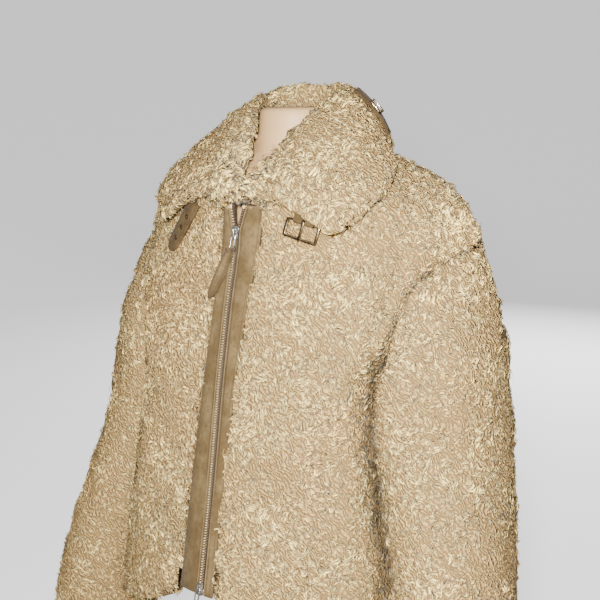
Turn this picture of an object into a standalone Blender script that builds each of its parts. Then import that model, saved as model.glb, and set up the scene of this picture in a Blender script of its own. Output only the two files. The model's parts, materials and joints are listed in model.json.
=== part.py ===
"""A short faux fur coat with a folded collar and a two-way zip, on a counter-top dress form.

Metres, +Z up, the front faces -Y and the wearer's left is +X. The origin is the centre of the
base's underside. Heights in the tables are above the coat's front hem.
"""

import functools
import math

import bmesh
import bpy
import numpy as np
from mathutils import Matrix, Vector
from mathutils.bvhtree import BVHTree

# ---- Driving sizes ----

HEM_HEIGHT = 0.25  # front hem above the underside of the base
WALL = 0.010  # backing cloth and curled pile together
SEAM = 0.00035  # air left between neighbouring pieces
NECK_HEIGHT = 0.552  # where the side of the neckline meets the shoulder seam
FRONT_NECK_HEIGHT = 0.478  # where the neckline meets the zip
ARMHOLE_LOW, ARMHOLE_HIGH = 0.280, 0.430
ARMHOLE_STEPS = 10
ARMHOLE_REACH = 0.40  # how far the armhole cuts into the front and the back, in turns
ARMHOLE_CENTRE = Vector((0.205, 0.010, 0.360))
FRONT_STEPS = 10
BACK_STEPS = 20
SIDE_STEPS = 4  # of them, between the armhole and the corner of the body

# A turn runs round the body: 0 centre front, 1 left side, 2 centre back.
SECTION_COLUMNS = (
    "height", "front_y", "corner_x", "corner_y", "side_x", "side_y", "back_x", "blade_y", "back_y",
)
COAT_SECTIONS = (
    (-0.100, -0.2310, 0.214, -0.146, 0.193, -0.034, 0.198, 0.100, 0.158),
    (0.000, -0.2110, 0.204, -0.140, 0.177, -0.020, 0.188, 0.100, 0.150),
    (0.060, -0.1990, 0.197, -0.137, 0.169, -0.012, 0.181, 0.100, 0.146),
    (0.120, -0.1870, 0.189, -0.133, 0.158, -0.004, 0.172, 0.099, 0.142),
    (0.180, -0.1765, 0.181, -0.128, 0.149, 0.002, 0.165, 0.098, 0.138),
    (0.240, -0.1660, 0.175, -0.122, 0.145, 0.006, 0.160, 0.096, 0.134),
    (0.280, -0.1585, 0.174, -0.118, 0.152, 0.010, 0.162, 0.094, 0.131),
    (0.320, -0.1500, 0.180, -0.108, 0.193, 0.014, 0.174, 0.090, 0.127),
    (0.360, -0.1415, 0.186, -0.096, 0.227, 0.015, 0.186, 0.086, 0.122),
    (0.400, -0.1310, 0.182, -0.087, 0.252, 0.015, 0.195, 0.081, 0.117),
    (0.430, -0.1240, 0.168, -0.079, 0.262, 0.015, 0.196, 0.076, 0.113),
    (0.478, -0.1185, 0.147, -0.076, 0.240, 0.015, 0.185, 0.071, 0.106),
    (0.506, -0.1010, 0.126, -0.066, 0.208, 0.014, 0.160, 0.067, 0.101),
    (0.523, -0.0790, 0.108, -0.053, 0.174, 0.013, 0.135, 0.063, 0.096),
    (0.540, -0.0610, 0.086, -0.038, 0.124, 0.011, 0.100, 0.058, 0.087),
    (0.552, -0.0490, 0.058, -0.024, 0.075, 0.010, 0.058, 0.054, 0.074),
)
FORM_SECTIONS = (
    (0.070, -0.084, 0.098, -0.062, 0.128, 0.008, 0.098, 0.078, 0.098),
    (0.100, -0.092, 0.104, -0.066, 0.134, 0.008, 0.102, 0.080, 0.104),
    (0.150, -0.084, 0.092, -0.060, 0.117, 0.008, 0.090, 0.070, 0.090),
    (0.200, -0.082, 0.086, -0.056, 0.109, 0.006, 0.084, 0.064, 0.080),
    (0.260, -0.100, 0.094, -0.066, 0.122, 0.004, 0.092, 0.066, 0.084),
    (0.320, -0.114, 0.102, -0.076, 0.134, 0.004, 0.102, 0.072, 0.092),
    (0.370, -0.108, 0.104, -0.074, 0.146, 0.006, 0.112, 0.070, 0.094),
    (0.420, -0.098, 0.106, -0.064, 0.162, 0.008, 0.120, 0.064, 0.090),
    (0.465, -0.090, 0.106, -0.054, 0.174, 0.011, 0.124, 0.058, 0.086),
    (0.492, -0.086, 0.104, -0.050, 0.177, 0.012, 0.122, 0.056, 0.084),
)

# Sides of the suede facings, and the neckline above them, as distances from the zip.
FACING_COLUMNS = ("height", "right", "left")
FACING_EDGES = (
    (0.000, 0.038, 0.019),
    (0.120, 0.036, 0.019),
    (0.260, 0.029, 0.024),
    (0.370, 0.025, 0.030),
    (0.450, 0.024, 0.037),
    (0.478, 0.027, 0.039),
    (0.490, 0.044, 0.044),
    (0.506, 0.053, 0.053),
    (0.523, 0.062, 0.062),
    (0.540, 0.070, 0.070),
    (0.552, 0.0735, 0.0735),
)

# The hem drops from the facings round to the sides.
HEM_COLUMNS = ("turn", "height")
HEM_LINE = (
    (0.00, 0.000),
    (0.06, 0.000),
    (0.09, -0.008),
    (0.12, -0.019),
    (0.18, -0.034),
    (0.28, -0.055),
    (0.38, -0.073),
    (0.50, -0.087),
    (0.70, -0.094),
    (1.00, -0.096),
    (2.00, -0.096),
)

# The sleeve's rings, from the armhole to the cuff. The pitch lifts a ring's front, in degrees, and
# the lean brings its front in towards the body.
RING_COLUMNS = ("inner_x", "inner_z", "outer_x", "outer_z", "y", "half_depth", "pitch", "lean")
SLEEVE_RINGS = (
    (0.152, 0.280, 0.262, 0.430, 0.006, 0.082, 0.0, 0.000),
    (0.162, 0.266, 0.279, 0.392, 0.007, 0.092, 0.0, 0.014),
    (0.163, 0.249, 0.291, 0.348, 0.000, 0.102, 0.0, 0.026),
    (0.163, 0.225, 0.301, 0.298, -0.003, 0.103, 2.0, 0.026),
    (0.163, 0.190, 0.309, 0.242, -0.007, 0.103, 5.0, 0.023),
    (0.166, 0.150, 0.316, 0.190, -0.011, 0.101, 9.0, 0.020),
    (0.172, 0.105, 0.324, 0.140, -0.018, 0.098, 14.0, 0.016),
    (0.183, 0.060, 0.334, 0.093, -0.031, 0.095, 18.0, 0.014),
    (0.196, 0.010, 0.346, 0.042, -0.048, 0.092, 20.0, 0.012),
    (0.210, -0.045, 0.357, -0.011, -0.068, 0.088, 20.0, 0.008),
    (0.221, -0.100, 0.367, -0.066, -0.084, 0.085, 18.0, 0.003),
    (0.227, -0.150, 0.372, -0.122, -0.096, 0.082, 12.0, 0.001),
    (0.230, -0.178, 0.374, -0.156, -0.101, 0.082, 8.0, 0.000),
)
ARMHOLE_SHARE = (1.0, 0.55, 0.2)  # how much of the armhole's own shape the first rings keep

# The collar's stations, from the zip round to the centre back: where it folds, and where its
# lower edge lies on the coat.
COLLAR_COLUMNS = (
    "base_turn", "fold_x", "fold_y", "fold_z", "edge_turn", "edge_height", "lift", "arch",
)
COLLAR_STATIONS = (
    (0.0, 0.011, -0.120, 0.494, 0.38, 0.444, 0.0090, 0.008),
    (0.0, 0.017, -0.100, 0.516, 0.45, 0.453, 0.0090, 0.006),
    (0.0, 0.024, -0.077, 0.538, 0.52, 0.469, 0.0075, 0.003),
    (0.0, 0.033, -0.055, 0.562, 0.62, 0.486, 0.0040, 0.0),
    (0.0, 0.043, -0.034, 0.585, 0.73, 0.505, 0.0020, 0.0),
    (0.0, 0.056, -0.011, 0.601, 0.84, 0.522, 0.0006, 0.0),
    (1.0, 0.062, 0.012, 0.611, 0.96, 0.534, 0.0006, 0.0),
    (1.2, 0.060, 0.034, 0.618, 1.15, 0.539, 0.0006, 0.0),
    (1.4, 0.049, 0.052, 0.622, 1.35, 0.538, 0.0006, 0.0),
    (1.6, 0.034, 0.064, 0.623, 1.58, 0.530, 0.0006, 0.0),
    (1.8, 0.017, 0.071, 0.623, 1.80, 0.520, 0.0006, 0.0),
    (2.0, 0.000, 0.073, 0.623, 2.00, 0.515, 0.0006, 0.0),
)
NECKLINE_HEIGHTS = (0.478, 0.490, 0.506, 0.523, 0.540, 0.552)

# Soft troughs in the cloth, each along a line between two places on it.
FOLD_COLUMNS = ("turn_a", "height_a", "turn_b", "height_b", "width", "depth")
BODY_FOLDS = (
    (0.60, 0.330, 0.44, 0.190, 0.016, 0.008),
    (0.36, 0.240, 0.60, 0.170, 0.014, 0.005),
    (0.30, 0.000, 0.26, 0.170, 0.022, 0.006),
    (0.44, 0.175, 0.42, 0.085, 0.006, 0.004),
    (0.76, 0.290, 0.76, 0.060, 0.034, 0.011),
    (0.16, 0.330, 0.34, 0.420, 0.022, 0.004),
    (1.46, 0.300, 1.60, 0.120, 0.020, 0.006),
    (1.74, 0.000, 1.70, 0.220, 0.024, 0.006),
    (1.94, 0.090, 1.88, 0.330, 0.022, 0.004),
)
SLEEVE_FOLD_COLUMNS = ("ring_a", "angle_a", "ring_b", "angle_b", "width", "depth")
SLEEVE_FOLDS = (
    (1.2, 78.0, 5.4, 52.0, 0.014, 0.006),
    (5.6, 118.0, 6.6, 40.0, 0.012, 0.008),
    (6.5, 150.0, 7.4, 82.0, 0.011, 0.006),
    (4.6, 128.0, 5.3, 70.0, 0.013, 0.005),
    (5.9, 230.0, 6.8, 300.0, 0.013, 0.006),
    (8.6, 100.0, 9.7, 30.0, 0.015, 0.004),
    (1.6, 250.0, 4.4, 300.0, 0.016, 0.005),
)

# Colour, roughness and metallic value of each material.
MATERIALS = {
    "fur": ((0.72, 0.62, 0.49, 1.0), 0.95, 0.0),
    "suede": ((0.38, 0.27, 0.16, 1.0), 0.85, 0.0),
    "metal": ((0.62, 0.59, 0.52, 1.0), 0.30, 1.0),
    "zip_tape": ((0.30, 0.23, 0.15, 1.0), 0.80, 0.0),
    "form_shell": ((0.66, 0.48, 0.36, 1.0), 0.55, 0.0),
    "form_metal": ((0.55, 0.55, 0.55, 1.0), 0.35, 1.0),
}

# Placket and zip, all measured back from the fur's outer surface at the centre front.
FACING_DEPTH, FACING_THICKNESS = 0.0040, 0.0030
FACING_SLOT = 0.0045  # from the zip's middle to the suede
TAPE_HALF_WIDTH, TAPE_DEPTH, TAPE_THICKNESS = 0.013, 0.0078, 0.0010
TEETH_HALF_WIDTH, TEETH_DEPTH = 0.0030, 0.0042
SLIDER_DEPTH = 0.0036
ZIP_BOTTOM, ZIP_CLOSED_TOP = 0.006, 0.446
V_OPENING = 0.009  # half the width of the open zip at its top

# Zip hardware.
SLIDER_LENGTH, SLIDER_TOP_WIDTH, SLIDER_TAIL_WIDTH, SLIDER_THICKNESS = 0.016, 0.0115, 0.0085, 0.0026
BRIDGE_LENGTH, BRIDGE_WIDTH, BRIDGE_HEIGHT, BRIDGE_BAR = 0.0095, 0.0026, 0.0042, 0.0014
PULLER_LENGTH, PULLER_WIDTH, PULLER_THICKNESS = 0.021, 0.0075, 0.0014
TAB_LENGTH, TAB_WIDTH, TAB_THICKNESS = 0.073, 0.0145, 0.0026
TAB_SWING = math.radians(-16.0)  # the leaf hangs towards the wearer's right

# Buckles. The keeper and the prong turn round the frame's heel bar.
FRAME_WIDTH, FRAME_DEPTH, FRAME_BAR, HEEL_BAR = 0.044, 0.023, 0.0034, 0.0020
FRAME_LIE = math.radians(4.0)  # how far the frame leans in towards the front
PRONG_WIDTH, PRONG_THICKNESS, PRONG_REACH = 0.0032, 0.0015, 0.0225
KEEPER_WIDTH, KEEPER_LENGTH, KEEPER_THICKNESS, KEEPER_GAP = 0.026, 0.030, 0.0012, 0.0006
KEEPER_EYE, KEEPER_FOLD_LENGTH = 0.00178, 0.016
BUCKLE_X, BUCKLE_HEIGHT = 0.0935, 0.4605
BUCKLE_ACROSS = (0.042, 0.014, -0.013)

# The free strap, as places on the wearer's right front, and its width from the tip to the root.
STRAP_WIDTH, STRAP_THICKNESS, STRAP_GAP = 0.023, 0.0026, 0.0007
STRAP_TIP, STRAP_ROOT = (-0.1280, 0.4120), (-0.0740, 0.4775)
STRAP_SHAPE = (  # share of the length from the tip, share of the width
    (0.000, 0.22), (0.035, 0.62), (0.090, 0.88), (0.170, 1.00), (0.330, 1.00),
    (0.500, 1.00), (0.670, 1.00), (0.830, 1.00), (1.000, 1.00),
)
STRAP_HOLES, HOLE_RADIUS = (0.24, 0.46, 0.68), 0.0019

# The fastened strap on the collar, in collar stations and columns.
BACK_STRAP_STATIONS, BACK_STRAP_COLUMNS, BACK_BUCKLE_COLUMN = (6.62, 7.42), (5.3, 9.4), 7.4
BACK_STRAP_GAP = 0.0011
BACK_FRAME_WIDTH, BACK_FRAME_DEPTH = 0.036, 0.020

# Dress form.
NECK_CENTRE_Y = 0.005
NECK_RINGS = (  # height, radius
    (0.5525, 0.0500), (0.5600, 0.0480), (0.5690, 0.0467), (0.5790, 0.0460),
    (0.5870, 0.0452), (0.5905, 0.0425), (0.5920, 0.0380),
)
FORM_REST_GAP = 0.0013
FORM_CHEST_EASE = 0.006  # how much further in the form lies away from the shoulder line
FORM_YOKE_HEIGHTS = (0.5200, 0.5290, 0.5380, 0.5460, 0.5510)
POLE_RADIUS = 0.014
BASE_RADIUS, BASE_THICKNESS, BASE_EDGE = 0.165, 0.014, 0.004
SOCKET_RADIUS, SOCKET_HEIGHT = 0.026, 0.022


# ---- Curves and surfaces ----


def rows_of(table, columns):
    """The table as one array for each named column."""
    return {name: np.array([row[i] for row in table]) for i, name in enumerate(columns)}


def smooth_at(xs, ys, x):
    """A smooth curve through the points that doesn't overshoot them."""
    steps = np.diff(xs)
    slopes = np.diff(ys) / steps
    tangents = np.concatenate([slopes[:1], np.zeros(len(xs) - 2), slopes[-1:]])
    for i in range(1, len(xs) - 1):
        before, after = slopes[i - 1], slopes[i]
        if before * after > 0:
            weight_before = 2 * steps[i] + steps[i - 1]
            weight_after = steps[i] + 2 * steps[i - 1]
            tangents[i] = (weight_before + weight_after) / (
                weight_before / before + weight_after / after
            )
    i = int(np.clip(np.searchsorted(xs, x) - 1, 0, len(steps) - 1))
    s = (x - xs[i]) / steps[i]
    return float(
        ys[i] * (1 + 2 * s) * (1 - s) ** 2
        + ys[i + 1] * s * s * (3 - 2 * s)
        + steps[i] * (tangents[i] * s * (1 - s) ** 2 + tangents[i + 1] * s * s * (s - 1))
    )


def through(a, b, c, d, s):
    """A point between b and c on the smooth curve through four points."""
    return 0.5 * (
        2 * b + (c - a) * s + (2 * a - 5 * b + 4 * c - d) * s * s
        + (3 * b - a - 3 * c + d) * s ** 3
    )


def mirrored(point):
    return Vector((-point.x, point.y, point.z))


class Body:
    """A closed body surface given by named sections, read at a turn and a height."""

    def __init__(self, sections, folds=()):
        self.sections = rows_of(sections, SECTION_COLUMNS)
        self.folds = []
        for row in folds:
            fold = dict(zip(FOLD_COLUMNS, row))
            ends = [self.smooth(fold[f"turn_{end}"], fold[f"height_{end}"]) for end in "ab"]
            self.folds.append((*ends, fold["width"], fold["depth"]))

    @functools.lru_cache(maxsize=None)
    def value(self, name, height):
        return smooth_at(self.sections["height"], self.sections[name], height)

    def smooth(self, turn, height):
        """The surface before its folds."""
        if turn > 2:
            return mirrored(self.smooth(4 - turn, height))
        front = Vector((0, self.value("front_y", height), height))
        corner = Vector((self.value("corner_x", height), self.value("corner_y", height), height))
        side = Vector((self.value("side_x", height), self.value("side_y", height), height))
        blade = Vector((self.value("back_x", height), self.value("blade_y", height), height))
        back = Vector((0, self.value("back_y", height), height))
        round_half = (mirrored(corner), front, corner, side, blade, back, mirrored(blade))
        i = min(int(turn * 2), 3)
        return through(*round_half[i : i + 4], turn * 2 - i)

    def smooth_normal(self, turn, height):
        low, high = self.sections["height"][0], self.sections["height"][-1]
        up = self.smooth(turn, min(height + 0.003, high)) - self.smooth(
            turn, max(height - 0.003, low)
        )
        step = 0.01
        if turn < step:
            along = self.smooth(turn + step, height) - mirrored(self.smooth(step - turn, height))
        else:
            along = self.smooth(turn + step, height) - self.smooth(turn - step, height)
        return along.cross(up).normalized()

    def point(self, turn, height):
        """The outer surface, with its folds pressed in."""
        place = self.smooth(turn, height)
        half = place if turn <= 2 else mirrored(place)
        return place - self.smooth_normal(turn, height) * fold_depth(half, self.folds)

    def turn_at(self, x, height):
        """The turn on the front where the surface is this far from the middle."""
        low, high = 0.0, 1.0
        for _ in range(30):
            middle = (low + high) / 2
            if self.smooth(middle, height).x < x:
                low = middle
            else:
                high = middle
        return low


def fold_depth(place, folds):
    """How deep the troughs lie at this place. Each fades out over its width."""
    depth = 0.0
    for start, end, width, deepest in folds:
        along = end - start
        share = min(max((place - start).dot(along) / along.length_squared, 0.0), 1.0)
        off = (place - start - along * share).length / width
        taper = 0.35 + 0.65 * math.sin(math.pi * share)
        depth += deepest * taper * math.exp(-off * off)
    return depth


def raised(point):
    """From a height above the hem to a height above the floor."""
    return Vector((point.x, point.y, point.z + HEM_HEIGHT))


# ---- Making objects ----


def material(name):
    found = bpy.data.materials.get(name)
    if found:
        return found
    colour, roughness, metallic = MATERIALS[name]
    found = bpy.data.materials.new(name)
    found.use_nodes = True
    shader = found.node_tree.nodes["Principled BSDF"]
    shader.inputs["Base Color"].default_value = colour
    shader.inputs["Roughness"].default_value = roughness
    shader.inputs["Metallic"].default_value = metallic
    return found


def add_object(name, bm, finish):
    """The bmesh as a named object with its faces pointing out."""
    bmesh.ops.recalc_face_normals(bm, faces=bm.faces)
    mesh = bpy.data.meshes.new(name)
    bm.to_mesh(mesh)
    bm.free()
    mesh.materials.append(material(finish))
    mesh.shade_smooth()
    mesh.set_sharp_from_angle(angle=math.radians(40))
    made = bpy.data.objects.new(name, mesh)
    bpy.context.scene.collection.objects.link(made)
    return made


def add_wall(name, outer, inner, finish, closed=False):
    """A wall between two grids of points, closed at its rims. A closed one is a tube."""
    bm = bmesh.new()
    skins = [[[bm.verts.new(raised(p)) for p in row] for row in grid] for grid in (outer, inner)]
    last_row, columns = len(outer) - 1, len(outer[0])
    spans = columns if closed else columns - 1
    for row in range(last_row):
        for i in range(spans):
            j = (i + 1) % columns
            for skin in skins:
                bm.faces.new((skin[row][i], skin[row][j], skin[row + 1][j], skin[row + 1][i]))
    for row in (0, last_row):
        for i in range(spans):
            j = (i + 1) % columns
            bm.faces.new((skins[0][row][i], skins[0][row][j], skins[1][row][j], skins[1][row][i]))
    if not closed:
        for row in range(last_row):
            for i in (0, columns - 1):
                bm.faces.new(
                    (skins[0][row][i], skins[0][row + 1][i], skins[1][row + 1][i], skins[1][row][i])
                )
    return add_object(name, bm, finish)


def grid_normals(grid, closed=False):
    """The outward normal at each point of a grid, from its neighbours."""
    points = np.array([[tuple(p) for p in row] for row in grid])
    along_rows = np.gradient(points, axis=0)
    if closed:
        around = np.roll(points, -1, axis=1) - np.roll(points, 1, axis=1)
    else:
        around = np.gradient(points, axis=1)
    normals = np.cross(around, along_rows)
    return normals / np.linalg.norm(normals, axis=2, keepdims=True)


def plate(outline, frame, low, high):
    """A bmesh of an outline in a frame's plane, between two heights along its third axis."""
    bm = bmesh.new()
    face = bm.faces.new([bm.verts.new((x, y, low)) for x, y in outline])
    lifted = bmesh.ops.extrude_face_region(bm, geom=[face])
    moved = [v for v in lifted["geom"] if isinstance(v, bmesh.types.BMVert)]
    bmesh.ops.translate(bm, verts=moved, vec=(0, 0, high - low))
    bmesh.ops.transform(bm, matrix=frame, verts=bm.verts)
    return bm


def rounded_rectangle(width, depth, radius, steps=3):
    """Corner points of a rectangle about its middle, anticlockwise."""
    points = []
    for quarter, (sx, sy) in enumerate(((1, 1), (-1, 1), (-1, -1), (1, -1))):
        for i in range(steps + 1):
            angle = math.pi / 2 * (quarter + i / steps)
            x = sx * (width / 2 - radius) + radius * math.cos(angle)
            points.append((x, sy * (depth / 2 - radius) + radius * math.sin(angle)))
    return points


def frame_at(origin, across, outwards):
    """A frame whose x runs across, whose z points outwards, and whose y is up the cloth."""
    z = outwards.normalized()
    x = (across - z * across.dot(z)).normalized()
    y = z.cross(x)
    axes = Matrix((x, y, z)).transposed().to_4x4()
    return Matrix.Translation(raised(origin)) @ axes


def cut(made, bm):
    """Takes the closed bmesh out of an object."""
    cutter = add_object(f"{made.name}_cutter", bm, "metal")
    cutter.hide_render = True
    cutter.display_type = "WIRE"
    modifier = made.modifiers.new("cut", "BOOLEAN")
    modifier.operation = "DIFFERENCE"
    modifier.object = cutter


# ---- The coat ----


coat = Body(COAT_SECTIONS, BODY_FOLDS)
FACINGS = rows_of(FACING_EDGES, FACING_COLUMNS)
HEM = rows_of(HEM_LINE, HEM_COLUMNS)
HEM_FADE = 0.240  # the rows above this are level
ARMHOLE_AXIS = Vector(
    (
        SLEEVE_RINGS[0][3] - SLEEVE_RINGS[0][1],
        0.0,
        SLEEVE_RINGS[0][0] - SLEEVE_RINGS[0][2],
    )
).normalized()


def armhole_heights():
    middle, half = (ARMHOLE_LOW + ARMHOLE_HIGH) / 2, (ARMHOLE_HIGH - ARMHOLE_LOW) / 2
    steps = range(ARMHOLE_STEPS + 1)
    return [middle - half * math.cos(math.pi * k / ARMHOLE_STEPS) for k in steps]


LOWER_HEIGHTS = [ARMHOLE_LOW * i / 8 for i in range(8)]
PANEL_HEIGHTS = LOWER_HEIGHTS + armhole_heights() + [0.455, *NECKLINE_HEIGHTS]


def armhole_reach(height):
    """How many turns the armhole cuts in at this height."""
    middle, half = (ARMHOLE_LOW + ARMHOLE_HIGH) / 2, (ARMHOLE_HIGH - ARMHOLE_LOW) / 2
    off = (height - middle) / half
    return ARMHOLE_REACH * math.sqrt(max(0.0, 1 - off * off))


def in_armhole(height):
    return ARMHOLE_LOW - 1e-6 <= height <= ARMHOLE_HIGH + 1e-6


def rim_inner(point):
    """The lining side of the armhole's rim, towards the middle of the armhole."""
    return point + (ARMHOLE_CENTRE - point).normalized() * WALL


def facing_edge(height, side):
    return smooth_at(FACINGS["height"], FACINGS[side], height)


def row_height(row, turn):
    """A row's height at this turn. The lowest rows follow the hem."""
    height = PANEL_HEIGHTS[row]
    if height >= HEM_FADE:
        return height
    drop = smooth_at(HEM["turn"], HEM["height"], turn)
    return height + drop * (1 - height / HEM_FADE)


def spread(first, anchor, last, before, after):
    """Turns from first to last, with a fixed count on each side of the anchor."""
    turns = [first + (anchor - first) * i / before for i in range(before)]
    return turns + [anchor + (last - anchor) * i / after for i in range(after + 1)]


def panel_row(row, turns, ends_at_armhole):
    """Outer and inner points of one row of a body panel, on the wearer's left."""
    places = [(turn, row_height(row, turn)) for turn in turns]
    outer = [coat.point(*place) for place in places]
    inner = [p - coat.smooth_normal(*place) * WALL for p, place in zip(outer, places)]
    for i, is_rim in ends_at_armhole.items():
        if is_rim:
            inner[i] = rim_inner(outer[i])
    return outer, inner


def seam_turn(height):
    """Half the seam's gap, in turns."""
    ahead = coat.smooth(1.01, height) - coat.smooth(0.99, height)
    return SEAM / 2 / (ahead.length / 0.02)


def front_rows(side):
    """The grids of a front, built on the wearer's left."""
    outer, inner = [], []
    for k, height in enumerate(PANEL_HEIGHTS):
        first = coat.turn_at(facing_edge(height, side), height)
        last = 1 - armhole_reach(height) - seam_turn(height)
        anchor = 0.5 if height <= ARMHOLE_HIGH + 1e-6 else first + (last - first) * 0.55
        turns = spread(first, anchor, last, FRONT_STEPS - SIDE_STEPS, SIDE_STEPS)
        row = panel_row(k, turns, {-1: in_armhole(height)})
        outer.append(row[0])
        inner.append(row[1])
    return outer, inner


def back_rows():
    outer, inner = [], []
    for k, height in enumerate(PANEL_HEIGHTS):
        first = 1 + armhole_reach(height) + seam_turn(height)
        half = spread(first, 1.5, 2.0, SIDE_STEPS, BACK_STEPS // 2 - SIDE_STEPS)
        left = panel_row(k, half, {0: in_armhole(height)})
        rows = [side + [mirrored(p) for p in reversed(side[:-1])] for side in left]
        outer.append(rows[0])
        inner.append(rows[1])
    return outer, inner


def make_body():
    for side, flip in (("left", False), ("right", True)):
        grids = front_rows(side)
        if flip:
            grids = [[[mirrored(p) for p in row] for row in grid] for grid in grids]
        add_wall(f"front_{side}", *grids, "fur")
    add_wall("back", *back_rows(), "fur")


def armhole_loop():
    """The armhole's points round from the shoulder, by the front, the underarm and the back."""
    heights = armhole_heights()
    front = [coat.point(1 - armhole_reach(h), h) for h in reversed(heights)]
    back = [coat.point(1 + armhole_reach(h), h) for h in heights[1:-1]]
    return front + back


def ring_point(ring, angle):
    """A point on a sleeve ring: 0 degrees outside, 90 front, 180 inside."""
    inner = Vector((ring["inner_x"], ring["y"], ring["inner_z"]))
    outer = Vector((ring["outer_x"], ring["y"], ring["outer_z"]))
    pitch = math.radians(ring["pitch"])
    forward = Vector((0, -math.cos(pitch), math.sin(pitch))) * ring["half_depth"]
    half = (outer - inner) / 2
    inwards = Vector((-1, 0, 0)) * ring["lean"] * max(0.0, math.sin(angle)) ** 2
    middle = (inner + outer) / 2 + inwards
    return middle + half * math.cos(angle) + forward * math.sin(angle)


def sleeve_rings():
    table = rows_of(SLEEVE_RINGS, RING_COLUMNS)
    loop = armhole_loop()
    count = len(loop)
    angles = [2 * math.pi * i / count for i in range(count)]
    rings = [{n: float(v[k]) for n, v in table.items()} for k in range(len(SLEEVE_RINGS))]
    own_shape = [p - ring_point(rings[0], a) for p, a in zip(loop, angles)]
    grid = []
    for k, ring in enumerate(rings):
        share = ARMHOLE_SHARE[k] if k < len(ARMHOLE_SHARE) else 0.0
        grid.append([ring_point(ring, a) + own_shape[i] * share for i, a in enumerate(angles)])
    return grid


def pressed(grid, folds):
    """The grid with its folds pressed in, along its own normals."""
    normals = grid_normals(grid, closed=True)
    count = len(grid[0])

    def at(ring, angle):
        k, share = int(ring), ring - int(ring)
        i = int(round(angle / 360 * count)) % count
        return grid[k][i].lerp(grid[k + 1][i], share)

    lines = []
    for row in folds:
        fold = dict(zip(SLEEVE_FOLD_COLUMNS, row))
        ends = [at(fold[f"ring_{end}"], fold[f"angle_{end}"]) for end in "ab"]
        lines.append((*ends, fold["width"], fold["depth"]))
    rows = [grid[0]]
    for k in range(1, len(grid)):
        rows.append(
            [p - Vector(normals[k][i]) * fold_depth(p, lines) for i, p in enumerate(grid[k])]
        )
    return rows


def make_sleeves():
    outer = pressed(sleeve_rings(), SLEEVE_FOLDS)
    normals = grid_normals(outer, closed=True)
    inner = [[rim_inner(p) for p in outer[0]]]
    for k in range(1, len(outer)):
        inner.append([p - Vector(normals[k][i]) * WALL for i, p in enumerate(outer[k])])
    gap = ARMHOLE_AXIS * SEAM
    for grid in (outer, inner):
        grid[0] = [p + gap for p in grid[0]]
    add_wall("sleeve_left", outer, inner, "fur", closed=True)
    flipped = [[[mirrored(p) for p in row] for row in grid] for grid in (outer, inner)]
    add_wall("sleeve_right", *flipped, "fur", closed=True)


# ---- The collar ----

STAND_THICKNESS = 0.0095
FOLD_OUTWARDS = 0.009
FALL_STEPS = 5
FALL_BULGE = 0.007


def coat_tree():
    """The coat's outer surface as a search tree, for what lies on it."""
    heights = np.linspace(0.30, NECK_HEIGHT, 60)
    turns = np.linspace(0.0, 4.0, 161)[:-1]
    points = [coat.point(float(t), float(h)) for h in heights for t in turns]
    across = len(turns)
    faces = []
    for row in range(len(heights) - 1):
        for i in range(across):
            j = (i + 1) % across
            a, b = row * across, (row + 1) * across
            faces.append((a + i, a + j, b + j, b + i))
    return BVHTree.FromPolygons(points, faces)


def cleared(point, tree, clearance):
    """The point, moved out until it stands this far off the coat."""
    near, normal, _, _ = tree.find_nearest(point)
    height = (point - near).dot(normal)
    if height >= clearance:
        return point
    return point + normal * (clearance - height)


def neck_base(station, side):
    """Where the collar is sewn to the neckline: outer point, inner point and the way off it."""
    base_turn = COLLAR_STATIONS[station][COLLAR_COLUMNS.index("base_turn")]
    if base_turn:
        height, turn = NECK_HEIGHT, base_turn
    else:
        height = NECKLINE_HEIGHTS[station]
        turn = coat.turn_at(facing_edge(height, side), height)
    outer, normal = coat.point(turn, height), coat.smooth_normal(turn, height)
    towards_neck = Vector((0, NECK_CENTRE_Y, NECK_HEIGHT + 0.03)) - outer
    off = (towards_neck - normal * towards_neck.dot(normal)).normalized()
    return outer, outer - normal * WALL, off


def collar_section(station, side):
    """The shown and hidden points of the collar at one station."""
    row = dict(zip(COLLAR_COLUMNS, COLLAR_STATIONS[station]))
    fold = Vector((row["fold_x"], row["fold_y"], row["fold_z"]))
    layer = Vector((fold.x, fold.y - NECK_CENTRE_Y, 0)).normalized()
    up = Vector((0, 0, 1))
    base_outer, base_inner, off = neck_base(station, side)
    base_outer, base_inner = base_outer + off * SEAM * 1.6, base_inner + off * SEAM * 1.6
    end = (row["edge_turn"], row["edge_height"])
    edge = coat.point(*end) + coat.smooth_normal(*end) * (WALL + row["lift"])
    stand_shown = fold - layer * 0.010 - up * 0.012
    stand_hidden = fold - layer * 0.0005 - up * 0.0115
    shoulder = fold + layer * FOLD_OUTWARDS - up * 0.003
    shown = [base_inner, base_inner.lerp(stand_shown, 0.5), stand_shown]
    shown += [fold - layer * 0.007 - up * 0.003, fold, shoulder]
    hidden = [base_outer, base_outer.lerp(stand_hidden, 0.5), stand_hidden]
    hidden += [
        fold - up * 0.0095,
        fold + layer * 0.0015 - up * 0.009,
        fold + layer * 0.003 - up * 0.0105,
    ]
    for i in range(1, FALL_STEPS + 1):
        share = i / FALL_STEPS
        bulge = (layer * 0.6 + up * 0.8) * FALL_BULGE + up * row["arch"]
        shown.append(shoulder.lerp(edge, share) + bulge * math.sin(math.pi * share))
    return shown, hidden, row["lift"]


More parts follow.
